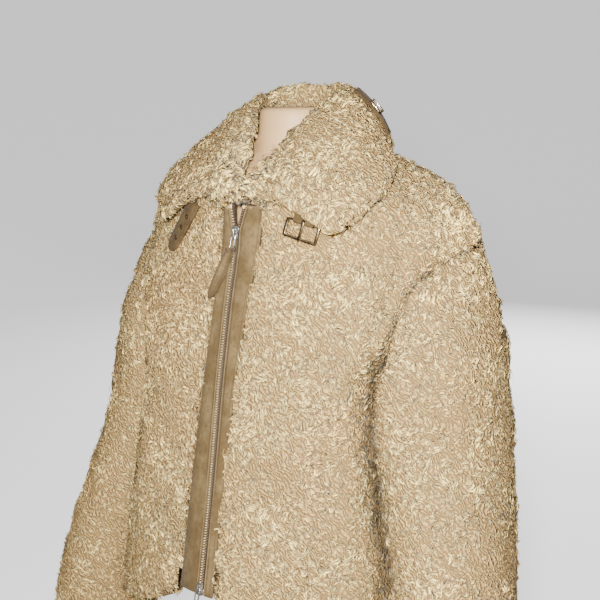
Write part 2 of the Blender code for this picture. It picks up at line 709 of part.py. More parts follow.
def collar_half(side, tree):
    """Both grids for one side, a row for each station."""
    sections = [collar_section(s, side) for s in range(len(COLLAR_STATIONS))]
    shown = [section[0] for section in sections]
    hidden = [section[1] for section in sections]
    fold_row = len(hidden[0])
    for row, (_, _, lift) in zip(shown, sections):
        for i in range(fold_row, len(row)):
            row[i] = cleared(row[i], tree, WALL + lift)
    normals = grid_normals(shown)
    for s, row in enumerate(shown):
        for i in range(fold_row, len(row)):
            normal = Vector(normals[s][i])
            if normal.dot(row[i] - Vector((0, NECK_CENTRE_Y, row[i].z))) < 0:
                normal.negate()
            under = row[i] - normal * (WALL - 0.0008)
            hidden[s].append(cleared(under, tree, sections[s][2]))
    return shown, hidden


def make_collar():
    tree = coat_tree()
    left, right = collar_half("left", tree), collar_half("right", tree)
    grids = []
    for left_grid, right_grid in zip(left, right):
        flipped = [[mirrored(p) for p in row] for row in reversed(right_grid[:-1])]
        grids.append(left_grid + flipped)
    add_wall("collar", *grids, "fur")
    return left[0]


# ---- Placket and zip ----


def front_point(x, height, depth):
    """A point at this distance from the zip, behind the fur's front surface."""
    place = coat.smooth(coat.turn_at(abs(x), height), height)
    return Vector((x, place.y + depth, height))


def opening(height):
    """Half the width of the open zip at this height."""
    share = max(0.0, (height - ZIP_CLOSED_TOP) / (FRONT_NECK_HEIGHT - ZIP_CLOSED_TOP))
    return V_OPENING * share


def strip_heights(low, high, step=0.03):
    count = max(1, round((high - low) / step))
    return [low + (high - low) * i / count for i in range(count + 1)]


def make_facings():
    heights = [h for h in PANEL_HEIGHTS if h < FRONT_NECK_HEIGHT] + [FRONT_NECK_HEIGHT - 0.0015]
    for side in ("left", "right"):
        grids = [[], []]
        for height in heights:
            near, far = FACING_SLOT + opening(height), facing_edge(height, side) - SEAM
            turns = [coat.turn_at(near + (far - near) * i / 2, height) for i in range(3)]
            for grid, depth in zip(grids, (FACING_DEPTH, FACING_DEPTH + FACING_THICKNESS)):
                row = [coat.point(t, height) - coat.smooth_normal(t, height) * depth for t in turns]
                grid.append(row if side == "left" else [mirrored(p) for p in row])
        add_wall(f"placket_{side}", *grids, "suede")


def tape_section(left, right, teeth_left, teeth_right):
    """The zip's section as (x, depth) pairs: the tape with the teeth standing forward of it."""
    back = TAPE_DEPTH + TAPE_THICKNESS
    return (
        (left, back), (left, TAPE_DEPTH), (teeth_left, TAPE_DEPTH), (teeth_left, TEETH_DEPTH),
        (teeth_right, TEETH_DEPTH), (teeth_right, TAPE_DEPTH), (right, TAPE_DEPTH), (right, back),
    )


def add_strip(name, heights, section_at, finish):
    """A solid strip up the front, from a section at each height."""
    bm = bmesh.new()
    rows = []
    for height in heights:
        section = section_at(height)
        rows.append([bm.verts.new(raised(front_point(x, height, d))) for x, d in section])
    for low, high in zip(rows, rows[1:]):
        for i in range(len(low)):
            j = (i + 1) % len(low)
            bm.faces.new((low[i], low[j], high[j], high[i]))
    bm.faces.new(rows[0])
    bm.faces.new(rows[-1])
    return add_object(name, bm, finish)


def make_zip():
    closed = tape_section(-TAPE_HALF_WIDTH, TAPE_HALF_WIDTH, -TEETH_HALF_WIDTH, TEETH_HALF_WIDTH)
    heights = [h for h in PANEL_HEIGHTS if ZIP_BOTTOM < h < ZIP_CLOSED_TOP]
    heights = [ZIP_BOTTOM, *heights, ZIP_CLOSED_TOP]
    add_strip("zip_chain", heights, lambda _: closed, "zip_tape")
    heights = strip_heights(ZIP_CLOSED_TOP + SEAM, FRONT_NECK_HEIGHT - 0.002, 0.012)

    def side_section(height, sign):
        near = opening(height) + SEAM / 2
        edges = sorted(sign * x for x in (near + 0.00005, near + 0.0125))
        teeth = sorted(sign * x for x in (near, near + TEETH_HALF_WIDTH))
        low, high = min(edges[0], teeth[0]), max(edges[1], teeth[1])
        section = tape_section(low, high, *teeth)
        return [p for i, p in enumerate(section) if i == 0 or p != section[i - 1]]

    for side, sign in (("left", 1), ("right", -1)):
        add_strip(f"zip_side_{side}", heights, lambda h, s=sign: side_section(h, s), "zip_tape")


def front_frame(height, depth, swing=0.0):
    """A frame on the zip's line: x to the wearer's left, y up the front, z out of it."""
    above, below = front_point(0, height + 0.01, 0), front_point(0, height - 0.01, 0)
    across = Vector((1, 0, 0))
    outwards = across.cross(above - below)
    frame = frame_at(front_point(0, height, depth), across, outwards)
    return frame @ Matrix.Rotation(swing, 4, "Z")


def joined(parts, name, finish):
    """One object from bmeshes that overlap, by a Boolean union."""
    first = add_object(name, parts[0], finish)
    for i, bm in enumerate(parts[1:]):
        other = add_object(f"{name}_part_{i}", bm, finish)
        other.hide_render = True
        other.display_type = "WIRE"
        modifier = first.modifiers.new(f"join_{i}", "BOOLEAN")
        modifier.operation = "UNION"
        modifier.object = other
    return first


def box_outline(x_low, x_high, y_low, y_high):
    return [(x_low, y_low), (x_high, y_low), (x_high, y_high), (x_low, y_high)]


def slider_parts(frame, turned):
    """The slider's front plate and its bridge. A turned one points the other way."""
    if turned:
        frame = frame @ Matrix.Rotation(math.pi, 4, "Z")
    half, top, tail = SLIDER_LENGTH / 2, SLIDER_TOP_WIDTH / 2, SLIDER_TAIL_WIDTH / 2
    shield = [
        (-tail, -half), (tail, -half), (tail, 0.0), (top, half * 0.35),
        (top, half * 0.8), (top * 0.55, half), (-top * 0.55, half), (-top, half * 0.8),
        (-top, half * 0.35), (-tail, 0.0),
    ]
    parts = [plate(shield, frame, 0.0, SLIDER_THICKNESS)]
    end, bar, width = BRIDGE_LENGTH / 2, BRIDGE_BAR, BRIDGE_WIDTH / 2
    foot = SLIDER_THICKNESS - 0.0004
    crown = SLIDER_THICKNESS + BRIDGE_HEIGHT
    for low, high in ((-end, -end + bar), (end - bar, end)):
        parts.append(plate(box_outline(-width, width, low, high), frame, foot, crown - bar / 2))
    parts.append(plate(box_outline(-width, width, -end, end), frame, crown - bar, crown))
    return parts


def pull_frame(height, turned):
    """The hinge's frame: its x axis is the line that the pull turns about, under the bridge."""
    lift = SLIDER_THICKNESS + BRIDGE_HEIGHT / 2 - BRIDGE_BAR / 2
    frame = front_frame(height, SLIDER_DEPTH)
    shift = -BRIDGE_LENGTH / 2 + BRIDGE_BAR + 0.0016
    if turned:
        shift = BRIDGE_LENGTH / 2 - BRIDGE_BAR - 0.0016
    return frame @ Matrix.Translation((0, shift, lift))


def ring_between(outline, hole, frame, thickness):
    """A flat ring between two outlines with as many points, halved by the frame's plane."""
    bm = bmesh.new()
    layers = []
    for z in (-thickness / 2, thickness / 2):
        for points in (outline, hole):
            layers.append([bm.verts.new((x, y, z)) for x, y in points])
    low_out, low_in, high_out, high_in = layers
    for ring_a, ring_b in (
        (low_out, low_in), (high_out, high_in), (low_out, high_out), (low_in, high_in),
    ):
        for i in range(len(ring_a)):
            j = (i + 1) % len(ring_a)
            bm.faces.new((ring_a[i], ring_a[j], ring_b[j], ring_b[i]))
    bmesh.ops.transform(bm, matrix=frame, verts=bm.verts)
    return bm


def ring_plate(frame, width, length, bar, thickness, drop):
    """A flat rounded ring that hangs from its frame's origin."""
    outline = rounded_rectangle(width, length, width * 0.42)
    hole = rounded_rectangle(width - 2 * bar, length - 2 * bar, (width - 2 * bar) * 0.42)
    lowered = frame @ Matrix.Translation((0, -drop, 0))
    return ring_between(outline, hole, lowered, thickness)


def make_sliders():
    for name, height, turned in (
        ("zip_slider", TOP_SLIDER_HEIGHT, False), ("zip_slider_bottom", BOTTOM_SLIDER_HEIGHT, True),
    ):
        frame = front_frame(height, SLIDER_DEPTH)
        joined(slider_parts(frame, turned), name, "metal")


TOP_SLIDER_HEIGHT, BOTTOM_SLIDER_HEIGHT = 0.4440, 0.0075
PULL_TILT = math.radians(8.0)  # the pull leans off the front, over the pile
PULL_BAR = 0.0017


def hanging(frame, swing):
    """A pull's own frame: leant off the front and swung aside."""
    return frame @ Matrix.Rotation(swing, 4, "Z") @ Matrix.Rotation(-PULL_TILT, 4, "X")


def make_pulls():
    frame = hanging(pull_frame(TOP_SLIDER_HEIGHT, False), TAB_SWING * 0.35)
    drop = PULLER_LENGTH / 2 - PULL_BAR / 2
    ring = ring_plate(frame, PULLER_WIDTH, PULLER_LENGTH, PULL_BAR, PULLER_THICKNESS, drop)
    add_object("zip_puller", ring, "metal")
    low = -(PULLER_LENGTH - 1.5 * PULL_BAR)
    tab_frame = frame @ Matrix.Translation((0, low, 0)) @ Matrix.Rotation(TAB_SWING, 4, "Z")
    half = TAB_WIDTH / 2
    leaf = []
    steps = 8
    for side in (1, -1):
        for i in range(steps + 1):
            share = i / steps if side == 1 else 1 - i / steps
            width = half * (0.30 + 0.70 * math.sin(math.pi * (0.12 + 0.80 * share)) ** 0.8)
            if share == 1:
                width = half * 0.12
            leaf.append((side * width, 0.004 - TAB_LENGTH * share))
    thickness = TAB_THICKNESS / 2
    tab = add_object("zip_pull_tab", plate(leaf[::-1], tab_frame, -thickness, thickness), "suede")
    slot = PULLER_WIDTH / 2 + 0.0007
    cut(
        tab,
        plate(
            rounded_rectangle(2 * slot, 0.0105, 0.002),
            frame @ Matrix.Translation((0, low + 0.0030, 0)),
            -PULLER_THICKNESS / 2 - 0.0004,
            0.01,
        ),
    )
    bottom = hanging(pull_frame(BOTTOM_SLIDER_HEIGHT, True), 0.0)
    short = PULLER_LENGTH * 0.85
    ring = ring_plate(
        bottom, PULLER_WIDTH, short, PULL_BAR, PULLER_THICKNESS, short / 2 - PULL_BAR / 2
    )
    add_object("zip_puller_bottom", ring, "metal")


# ---- Straps and buckles ----


def on_front(x, height, side):
    """A place on a front's surface and the way out of it. Negative x is the wearer's right."""
    turn = coat.turn_at(abs(x), height)
    place, normal = coat.point(turn, height), coat.smooth_normal(turn, height)
    return (place, normal) if x >= 0 else (mirrored(place), mirrored(normal))


def ribbon_outline(points, thickness):
    """The outline of a bent strip of even thickness, from its middle line in a plane."""
    line = np.array(points)
    along = np.gradient(line, axis=0)
    along /= np.linalg.norm(along, axis=1, keepdims=True)
    aside = np.stack([-along[:, 1], along[:, 0]], axis=1) * thickness / 2
    return [tuple(p) for p in line + aside] + [tuple(p) for p in (line - aside)[::-1]]


def arc(radius, start, end, steps):
    """Points round the origin, between two angles in degrees."""
    angles = [math.radians(start + (end - start) * i / steps) for i in range(steps + 1)]
    return [(radius * math.cos(a), radius * math.sin(a)) for a in angles]


def side_on(frame):
    """The frame turned so that its plane is the one of up the cloth and out of it."""
    turn = Matrix(((0, 0, 1, 0), (1, 0, 0, 0), (0, 1, 0, 0), (0, 0, 0, 1)))
    return frame @ turn


def make_collar_strap():
    """The free strap that lies on the wearer's right front, under the collar at its root."""
    tip, root = Vector((STRAP_TIP[0], 0, STRAP_TIP[1])), Vector((STRAP_ROOT[0], 0, STRAP_ROOT[1]))
    along = (root - tip).normalized()
    across = Vector((along.z, 0, -along.x))
    length = (root - tip).length
    shown, hidden = [], []
    for share, width in STRAP_SHAPE:
        centre = tip + along * length * share
        rows = ([], [])
        for i in range(5):
            place = centre + across * STRAP_WIDTH / 2 * width * (i / 2 - 1)
            under, normal = on_front(place.x, place.z, "right")
            rows[0].append(under + normal * (STRAP_GAP + STRAP_THICKNESS))
            rows[1].append(under + normal * STRAP_GAP)
        shown.append(rows[0])
        hidden.append(rows[1])
    strap = add_wall("collar_strap", shown, hidden, "suede")
    for share in STRAP_HOLES:
        place = tip + along * length * share
        under, normal = on_front(place.x, place.z, "right")
        hole = rounded_rectangle(2 * HOLE_RADIUS, 2 * HOLE_RADIUS, HOLE_RADIUS * 0.999)
        frame = frame_at(under + normal * STRAP_GAP, Vector((1, 0, 0)), normal)
        cut(strap, plate(hole, frame, -0.002, STRAP_THICKNESS + 0.002))


def buckle_place():
    """The heel bar's frame: x along the bar, y up the front, z out of it."""
    place, normal = on_front(BUCKLE_X, BUCKLE_HEIGHT, "left")
    lift = KEEPER_GAP + KEEPER_THICKNESS + KEEPER_EYE
    return frame_at(place + normal * lift, Vector(BUCKLE_ACROSS), normal)


def keeper_outline():
    middle = KEEPER_EYE + KEEPER_THICKNESS / 2
    line = [(KEEPER_LENGTH, -middle), (KEEPER_LENGTH / 2, -middle)]
    line += arc(middle, -90, -270, 10) + [(0.006, middle), (KEEPER_FOLD_LENGTH, middle)]
    return ribbon_outline(line, KEEPER_THICKNESS)


def prong_outline():
    middle = KEEPER_EYE + PRONG_THICKNESS / 2
    line = arc(middle, -140, 90, 12) + [(-0.006, middle), (-PRONG_REACH, middle)]
    return ribbon_outline(line, PRONG_THICKNESS)


def frame_ring(frame):
    """The buckle's frame below its heel bar, which is thinner than its other bars."""
    outline = rounded_rectangle(FRAME_WIDTH, FRAME_DEPTH, 0.003)
    hole = rounded_rectangle(
        FRAME_WIDTH - 2 * FRAME_BAR, FRAME_DEPTH - FRAME_BAR - HEEL_BAR, 0.0012
    )
    shift = (FRAME_BAR - HEEL_BAR) / 2
    hole = [(x, y + shift) for x, y in hole]
    drop = FRAME_DEPTH / 2 - HEEL_BAR / 2
    return ring_between(outline, hole, frame @ Matrix.Translation((0, -drop, 0)), HEEL_BAR)


def make_front_buckle():
    frame = buckle_place()
    half = KEEPER_WIDTH / 2
    keeper = add_object(
        "buckle_keeper", plate(keeper_outline(), side_on(frame), -half, half), "suede"
    )
    slot = PRONG_WIDTH / 2 + 0.0007
    cut(keeper, plate(box_outline(-slot, slot, -0.006, 0.005), frame, -0.009, 0.009))
    laid = frame @ Matrix.Rotation(FRAME_LIE, 4, "X")
    add_object("buckle_frame", frame_ring(laid), "metal")
    half = PRONG_WIDTH / 2
    prong = plate(prong_outline(), side_on(laid), -half, half)
    add_object("buckle_prong", prong, "metal")


def on_collar(grid, station, column):
    """A place between the collar's grid points and the way out of it."""
    s, c = int(station), int(column)
    corners = [[grid[s + i][c + j] for j in (0, 1)] for i in (0, 1)]
    low = corners[0][0].lerp(corners[0][1], column - c)
    high = corners[1][0].lerp(corners[1][1], column - c)
    round_neck = corners[1][0] - corners[0][0]
    down = corners[0][1] - corners[0][0]
    normal = down.cross(round_neck).normalized()
    if normal.dot(Vector((low.x, low.y - NECK_CENTRE_Y, 0.05))) < 0:
        normal.negate()
    return low.lerp(high, station - s), normal


def make_back_buckle(shown):
    """The fastened strap that lies down the collar's fall, behind the left shoulder."""
    outer, inner = [], []
    low, high = BACK_STRAP_COLUMNS
    near, far = BACK_STRAP_STATIONS
    for i in range(9):
        column = high + (low - high) * i / 8
        rows = ([], [])
        for j in range(5):
            place, normal = on_collar(shown, near + (far - near) * j / 4, column)
            rows[0].append(place + normal * (BACK_STRAP_GAP + STRAP_THICKNESS))
            rows[1].append(place + normal * BACK_STRAP_GAP)
        outer.append(rows[0])
        inner.append(rows[1])
    add_wall("back_strap", outer, inner, "suede")
    station = (near + far) / 2
    place, normal = on_collar(shown, station, BACK_BUCKLE_COLUMN)
    ahead, _ = on_collar(shown, station + 0.3, BACK_BUCKLE_COLUMN)
    lift = BACK_STRAP_GAP + STRAP_THICKNESS + HEEL_BAR / 2 + 0.0007
    frame = frame_at(place + normal * lift, ahead - place, normal)
    width, depth = BACK_FRAME_WIDTH, BACK_FRAME_DEPTH
    outline = rounded_rectangle(width, depth, 0.003)
    hole = rounded_rectangle(width - 2 * FRAME_BAR, depth - 2 * FRAME_BAR, 0.0012)
    add_object("back_buckle_frame", ring_between(outline, hole, frame, HEEL_BAR), "metal")
    across, along = PRONG_WIDTH / 2, depth / 2 + 0.0005
    lift = HEEL_BAR / 2 + SEAM
    prong = plate(
        box_outline(-across, across, -along, along), frame, lift, lift + PRONG_THICKNESS
    )
    add_object("back_buckle_prong", prong, "metal")


# ---- Dress form ----


def make_form():
    form = Body(FORM_SECTIONS)
    turns = [4 * i / 40 for i in range(40)]
    rows = [[form.smooth(t, float(h)) for t in turns] for h in form.sections["height"]]
    for height in FORM_YOKE_HEIGHTS:
        row = [coat.smooth(t, height) - yoke_normal(t, height) * yoke_rest(t) for t in turns]
        rows.append([off_neck_axis(p, NECK_RINGS[0][1]) for p in row])
    for height, radius in NECK_RINGS:
        row = []
        for turn in turns:
            angle = math.pi / 2 * turn
            place = (radius * math.sin(angle), NECK_CENTRE_Y - radius * math.cos(angle), height)
            row.append(Vector(place))
        rows.append(row)
    bm = bmesh.new()
    rings = [[bm.verts.new(raised(p)) for p in row] for row in rows]
    for low, high in zip(rings, rings[1:]):
        for i in range(len(low)):
            j = (i + 1) % len(low)
            bm.faces.new((low[i], low[j], high[j], high[i]))
    bm.faces.new(rings[0][::-1])
    bm.faces.new(rings[-1])
    add_object("form_body", bm, "form_shell")
    return HEM_HEIGHT + float(form.sections["height"][0])


def off_neck_axis(point, radius):
    """The point, moved out level until it is at least this far from the neck's axis."""
    axis = Vector((0, NECK_CENTRE_Y, point.z))
    away = point - axis
    return point if away.length >= radius else axis + away.normalized() * radius


def yoke_rest(turn):
    """How far the form lies inside the coat's outer surface: it carries the shoulder line."""
    half = turn if turn <= 2 else 4 - turn
    off = min(max(abs(half - 1.1) - 0.25, 0.0) / 0.5, 1.0)
    return WALL + FORM_REST_GAP + FORM_CHEST_EASE * off


def yoke_normal(turn, height):
    if turn > 2:
        return mirrored(coat.smooth_normal(4 - turn, height))
    return coat.smooth_normal(turn, height)


def lathe(name, profile, finish, steps=48):
    """A turned solid from (radius, height) pairs, bottom to top."""
    bm = bmesh.new()
    rings = []
    for radius, height in profile:
        angles = [2 * math.pi * i / steps for i in range(steps)]
        rings.append(
            [bm.verts.new((radius * math.cos(a), radius * math.sin(a), height)) for a in angles]
        )
    for low, high in zip(rings, rings[1:]):
        for i in range(steps):
            j = (i + 1) % steps
            bm.faces.new((low[i], low[j], high[j], high[i]))
    bm.faces.new(rings[0][::-1])
    bm.faces.new(rings[-1])
    return add_object(name, bm, finish)


def make_stand(form_underside):
    edge = BASE_EDGE
    base = [(BASE_RADIUS, 0.0), (BASE_RADIUS, BASE_THICKNESS - edge)]
    base += [(BASE_RADIUS - edge * 0.3, BASE_THICKNESS - edge * 0.3)]
    base += [(BASE_RADIUS - edge, BASE_THICKNESS), (SOCKET_RADIUS, BASE_THICKNESS + 0.002)]
    base += [(SOCKET_RADIUS * 0.8, BASE_THICKNESS + SOCKET_HEIGHT)]
    lathe("form_base", base, "form_metal")
    low = BASE_THICKNESS + SOCKET_HEIGHT + SEAM
    pole = [(POLE_RADIUS, low), (POLE_RADIUS, form_underside - SEAM)]
    lathe("form_pole", pole, "form_metal", 24)


def clear_scene():
    for existing in list(bpy.data.objects):
        bpy.data.objects.remove(existing, do_unlink=True)


def main():
    clear_scene()
    make_body()
    make_sleeves()
    shown = make_collar()
    make_facings()
    make_zip()
    make_sliders()
    make_pulls()
    make_collar_strap()
    make_front_buckle()
    make_back_buckle(shown)
    make_stand(make_form())


main()
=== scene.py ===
"""Looks of a short faux fur coat with a folded collar, shown on a counter-top dress form.

Metres, +Z up. The front faces -Y and the wearer's left is +X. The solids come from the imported
part. This script grows the curled pile on them, sews the suede, closes the zip with its teeth,
finishes the metal and lights the whole.
"""

import json
import logging
import math
from collections.abc import Callable, Iterable, Sequence
from dataclasses import dataclass, field
from enum import Enum

import bmesh
import bpy
import numpy as np
from mathutils import Matrix, Vector
from mathutils.bvhtree import BVHTree
from mathutils.kdtree import KDTree

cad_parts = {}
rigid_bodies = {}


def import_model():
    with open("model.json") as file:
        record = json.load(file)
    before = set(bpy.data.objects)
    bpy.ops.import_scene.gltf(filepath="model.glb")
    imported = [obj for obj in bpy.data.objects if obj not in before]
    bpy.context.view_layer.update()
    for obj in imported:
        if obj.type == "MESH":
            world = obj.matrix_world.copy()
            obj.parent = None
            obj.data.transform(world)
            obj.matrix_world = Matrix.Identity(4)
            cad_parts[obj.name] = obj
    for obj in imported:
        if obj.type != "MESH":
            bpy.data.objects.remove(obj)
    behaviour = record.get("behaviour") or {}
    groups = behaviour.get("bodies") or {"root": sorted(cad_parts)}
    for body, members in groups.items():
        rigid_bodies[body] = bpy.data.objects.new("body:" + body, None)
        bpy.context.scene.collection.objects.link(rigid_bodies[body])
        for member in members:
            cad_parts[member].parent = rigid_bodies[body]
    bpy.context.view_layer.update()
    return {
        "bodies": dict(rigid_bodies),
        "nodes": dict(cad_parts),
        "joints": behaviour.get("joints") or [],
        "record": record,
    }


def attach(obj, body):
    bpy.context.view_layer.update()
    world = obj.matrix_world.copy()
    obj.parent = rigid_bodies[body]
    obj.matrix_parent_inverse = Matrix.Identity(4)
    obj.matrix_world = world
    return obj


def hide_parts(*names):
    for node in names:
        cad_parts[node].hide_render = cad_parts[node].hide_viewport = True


log = logging.getLogger("coat")

Colour = tuple[float, float, float]
Value = float | Colour | bpy.types.NodeSocket


class Slot(Enum):
    """The record's material slots."""

    FUR = "fur"
    SUEDE = "suede"
    ZIP_TAPE = "zip_tape"
    METAL = "metal"
    FORM_SHELL = "form_shell"
    FORM_METAL = "form_metal"


class Body(Enum):
    """The bodies that pieces ride on."""

    COAT = "coat_on_form"
    ZIP_PULL = "zip_pull"
    BOTTOM_PULL = "bottom_pull"
    BUCKLE = "buckle"
    PRONG = "prong"


# ---- Shader nodes ----


class Shader:
    """A node material while it is being put together."""

    def __init__(self, name: str) -> None:
        """Starts a material with its Principled shader.

        Args:
            name: The material's name.
        """
        self.material = bpy.data.materials.new(name)
        self.material.use_nodes = True
        self.tree = self.material.node_tree
        self.surface = self.tree.nodes["Principled BSDF"]
        self.object_place = self.tree.nodes.new("ShaderNodeTexCoord").outputs["Object"]

    def feed(self, socket: bpy.types.NodeSocket, value: Value) -> None:
        """Links a socket into another, or sets its value.

        Args:
            socket: The input.
            value: Another node's output, a number or a colour.
        """
        if isinstance(value, bpy.types.NodeSocket):
            self.tree.links.new(value, socket)
        elif socket.type == "RGBA" and len(value) == 3:
            socket.default_value = (*value, 1.0)
        else:
            socket.default_value = value

    def node(self, kind: str, inputs: dict[str | int, Value], **settings: object) -> bpy.types.Node:
        """Adds a node.

        Args:
            kind: The node's type, after "ShaderNode".
            inputs: Values or links for its inputs.
            settings: Its own properties.

        Returns:
            The node.
        """
        made = self.tree.nodes.new(f"ShaderNode{kind}")
        for name, setting in settings.items():
            setattr(made, name, setting)
        for name, value in inputs.items():
            self.feed(made.inputs[name], value)
        return made

    def noise(
        self, scale: float, detail: float = 3.0, place: bpy.types.NodeSocket | None = None
    ) -> bpy.types.NodeSocket:
        """Smooth noise from 0 to 1, in the piece's own space unless a place is given.

        Args:
            scale: Lumps per metre.
            detail: Octaves.
            place: Where it is read.

        Returns:
            The noise's value.
        """
        inputs = {"Vector": place or self.object_place, "Scale": scale, "Detail": detail}
        return self.node("TexNoise", inputs).outputs[0]

    def bands(
        self,
        scale: float,
        distortion: float,
        direction: str = "X",
        detail: tuple[float, float] = (2.0, 1.0),
    ) -> bpy.types.NodeSocket:
        """Wavy bands from 0 to 1 in the piece's own space.

        Args:
            scale: How close they are.
            distortion: How far they waver.
            direction: The axis that they cross.
            detail: The octaves of the wavering and its scale.

        Returns:
            The bands' value.
        """
        inputs = {"Vector": self.object_place, "Scale": scale, "Distortion": distortion}
        inputs |= {"Detail": detail[0], "Detail Scale": detail[1]}
        return self.node("TexWave", inputs, wave_type="BANDS", bands_direction=direction).outputs[1]

    def attribute(self, name: str) -> bpy.types.NodeSocket:
        """A number kept on the piece's points."""
        return self.node("Attribute", {}, attribute_name=name).outputs["Fac"]

    def stretched(self, x: float, y: float, z: float) -> bpy.types.NodeSocket:
        """The object's coordinates, scaled along each axis."""
        return self.node("Mapping", {"Vector": self.object_place, "Scale": (x, y, z)}).outputs[0]

    def maths(self, operation: str, a: Value, b: Value = 0.0) -> bpy.types.NodeSocket:
        """One sum on two numbers."""
        return self.node("Math", {0: a, 1: b}, operation=operation).outputs[0]

    def within(
        self, value: Value, low: float, high: float, out: tuple[float, float] = (0, 1)
    ) -> bpy.types.NodeSocket:
        """A number moved from one range to another, and kept inside it."""
        inputs = {"Value": value, "From Min": low, "From Max": high, "To Min": out[0], "To Max": out[1]}
        return self.node("MapRange", inputs).outputs[0]

    def blend(self, share: Value, a: Value, b: Value, mode: str = "MIX") -> bpy.types.NodeSocket:
        """Two colours mixed.

        Args:
            share: How much of the second.
            a: The first colour.
            b: The second colour.
            mode: How they are mixed.

        Returns:
            The mixed colour.
        """
        made = self.node("Mix", {}, data_type="RGBA", blend_type=mode)
        self.feed(made.inputs["Factor"], share)
        self.feed(made.inputs[6], a)
        self.feed(made.inputs[7], b)
        return made.outputs[2]

    def raised(self, height: bpy.types.NodeSocket, depth: float, strength: float = 1.0) -> None:
        """Lets a height stand out of the surface.

        Args:
            height: The height, from 0 to 1.
            depth: How far 1 stands out, in metres.
            strength: How strongly it shows.
        """
        inputs = {"Height": height, "Distance": depth, "Strength": strength}
        self.feed(self.surface.inputs["Normal"], self.node("Bump", inputs).outputs[0])

    def set(self, **values: Value) -> None:
        """Sets the Principled shader's sockets; an underscore stands for a space."""
        for name, value in values.items():
            self.feed(self.surface.inputs[name.replace("_", " ")], value)


# ---- Finishes ----


@dataclass(frozen=True)
class PileFinish:
    """Curled pile: brown at the root as painted shade deep in the pile, cream towards the tip with a painted
    highlight on each lock's arch, with warmer and greyer places.
    """

    # root is painted shade deep in the pile; tip is the cream of the lock's arch, brightened as a painted
    # highlight
    root: Colour = (0.215, 0.132, 0.052)
    middle: Colour = (0.700, 0.470, 0.158)
    tip: Colour = (0.980, 0.735, 0.240)
    peach: Colour = (1.000, 0.850, 0.760)
    grey: Colour = (0.860, 0.870, 0.900)
    # shadow_grey is the tint that the painted shade takes on
    shadow_grey: Colour = (0.050, 0.050, 0.054)

    def made(self) -> bpy.types.Material:
        """The material for the locks, which carry their place on the lock and their tone as attributes."""
        s = Shader("curled_pile")
        along, tone, hue = s.attribute("along"), s.attribute("tone"), s.attribute("hue")
        off = s.maths("ABSOLUTE", s.maths("SUBTRACT", s.maths("MULTIPLY", s.attribute("side"), 2.0), 1.0))
        # Painted shade at the root, a painted highlight on the arch, and painted shade again where the tip
        # curls under.
        low = s.blend(s.within(along, 0.0, 0.38), self.root, self.middle)
        arch = s.blend(s.within(along, 0.20, 0.55), low, self.tip)
        lit = s.blend(s.within(along, 0.70, 1.0, (0.0, 0.8)), arch, self.middle)
        warm = s.blend(s.within(hue, 0.50, 0.95, (0.0, 0.75)), lit, self.peach, "MULTIPLY")
        cool = s.blend(s.within(hue, 0.45, 0.05, (0.0, 0.75)), warm, self.grey, "MULTIPLY")
        strand = s.noise(1300.0, 1.0, s.stretched(1.0, 1.0, 0.45))
        strands = s.within(strand, 0.25, 0.75, (0.82, 1.12))
        # tone carries each lock's painted highlight and painted shade; the lock's sides are then darkened as
        # painted shade, to look rounded.
        worked = s.maths("MULTIPLY", s.within(tone, 0, 1, (0.20, 1.26)), strands)
        rounded = s.maths("MULTIPLY", worked, s.within(off, 0.42, 1.0, (1.08, 0.10)))
        # Painted shade in the darker parts of the pile is lifted towards grey.
        dim = s.blend(s.within(rounded, 0.0, 1.1), self.shadow_grey, (0.0, 0.0, 0.0))
        shown = s.blend(1.0, s.blend(1.0, cool, rounded, "MULTIPLY"), dim, "ADD")
        s.set(Base_Color=shown, Roughness=0.50)
        s.set(Sheen_Weight=0.08, Sheen_Roughness=0.5, Specular_IOR_Level=0.34)
        s.raised(s.maths("SUBTRACT", 1.0, s.maths("MULTIPLY", off, off)), 0.0015, 1.0)
        return s.material


@dataclass(frozen=True)
class BackingFinish:
    """The pile's ground under the tufts, darker between them as painted shade, and the plain backing inside
    the coat.
    """

    # ground is darker than curl as painted shade in the crevices between the tufts.
    ground: Colour = (0.210, 0.122, 0.040)
    curl: Colour = (0.650, 0.420, 0.145)
    inside: Colour = (0.420, 0.335, 0.230)

    def made(self) -> bpy.types.Material:
        """The material, which reads from its own attribute which side is the outside."""
        s = Shader("pile_ground")
        waves = s.bands(88.0, 17.0, "DIAGONAL", (2.5, 0.75))
        curls = s.maths("MULTIPLY", waves, s.within(s.noise(330.0, 3.0), 0.30, 0.62))
        pile = s.blend(s.within(curls, 0.05, 0.60), self.ground, self.curl)
        # Painted shade on the ground where other cloth covers it.
        pile = s.blend(1.0, pile, s.within(s.attribute("open"), 0.0, 1.0, (0.72, 1.0)), "MULTIPLY")
        plain = s.blend(s.within(s.bands(420.0, 1.5), 0, 1, (0.0, 0.25)), self.inside, (0.25, 0.19, 0.12))
        s.set(Base_Color=s.blend(s.attribute("outer"), plain, pile), Roughness=0.8)
        s.raised(curls, 0.0028, 1.0)
        return s.material


@dataclass(frozen=True)
class SuedeFinish:
    """Brushed suede with a mottled nap."""

    name: str
    base: Colour
    rubbed: Colour
    deep: Colour

    def made(self) -> bpy.types.Material:
        """The material."""
        s = Shader(self.name)
        clouds, nap, fibre = s.noise(38.0, 5.0), s.noise(210.0, 4.0), s.noise(2400.0, 2.0)
        wear_and_shade = s.blend(s.within(clouds, 0.42, 0.62), self.base, self.rubbed)
        handled = s.blend(s.within(nap, 0.54, 0.32, (0.0, 0.50)), wear_and_shade, self.deep)
        s.set(Base_Color=s.blend(s.within(fibre, 0.3, 0.7, (0.0, 0.22)), handled, self.deep))
        s.set(Roughness=0.90, Sheen_Weight=0.04, Sheen_Roughness=0.45, Specular_IOR_Level=0.18)
        brushed = s.maths("ADD", s.maths("MULTIPLY", nap, 0.6), s.maths("MULTIPLY", fibre, 0.4))
        s.raised(brushed, 0.0005, 0.7)
        return s.material


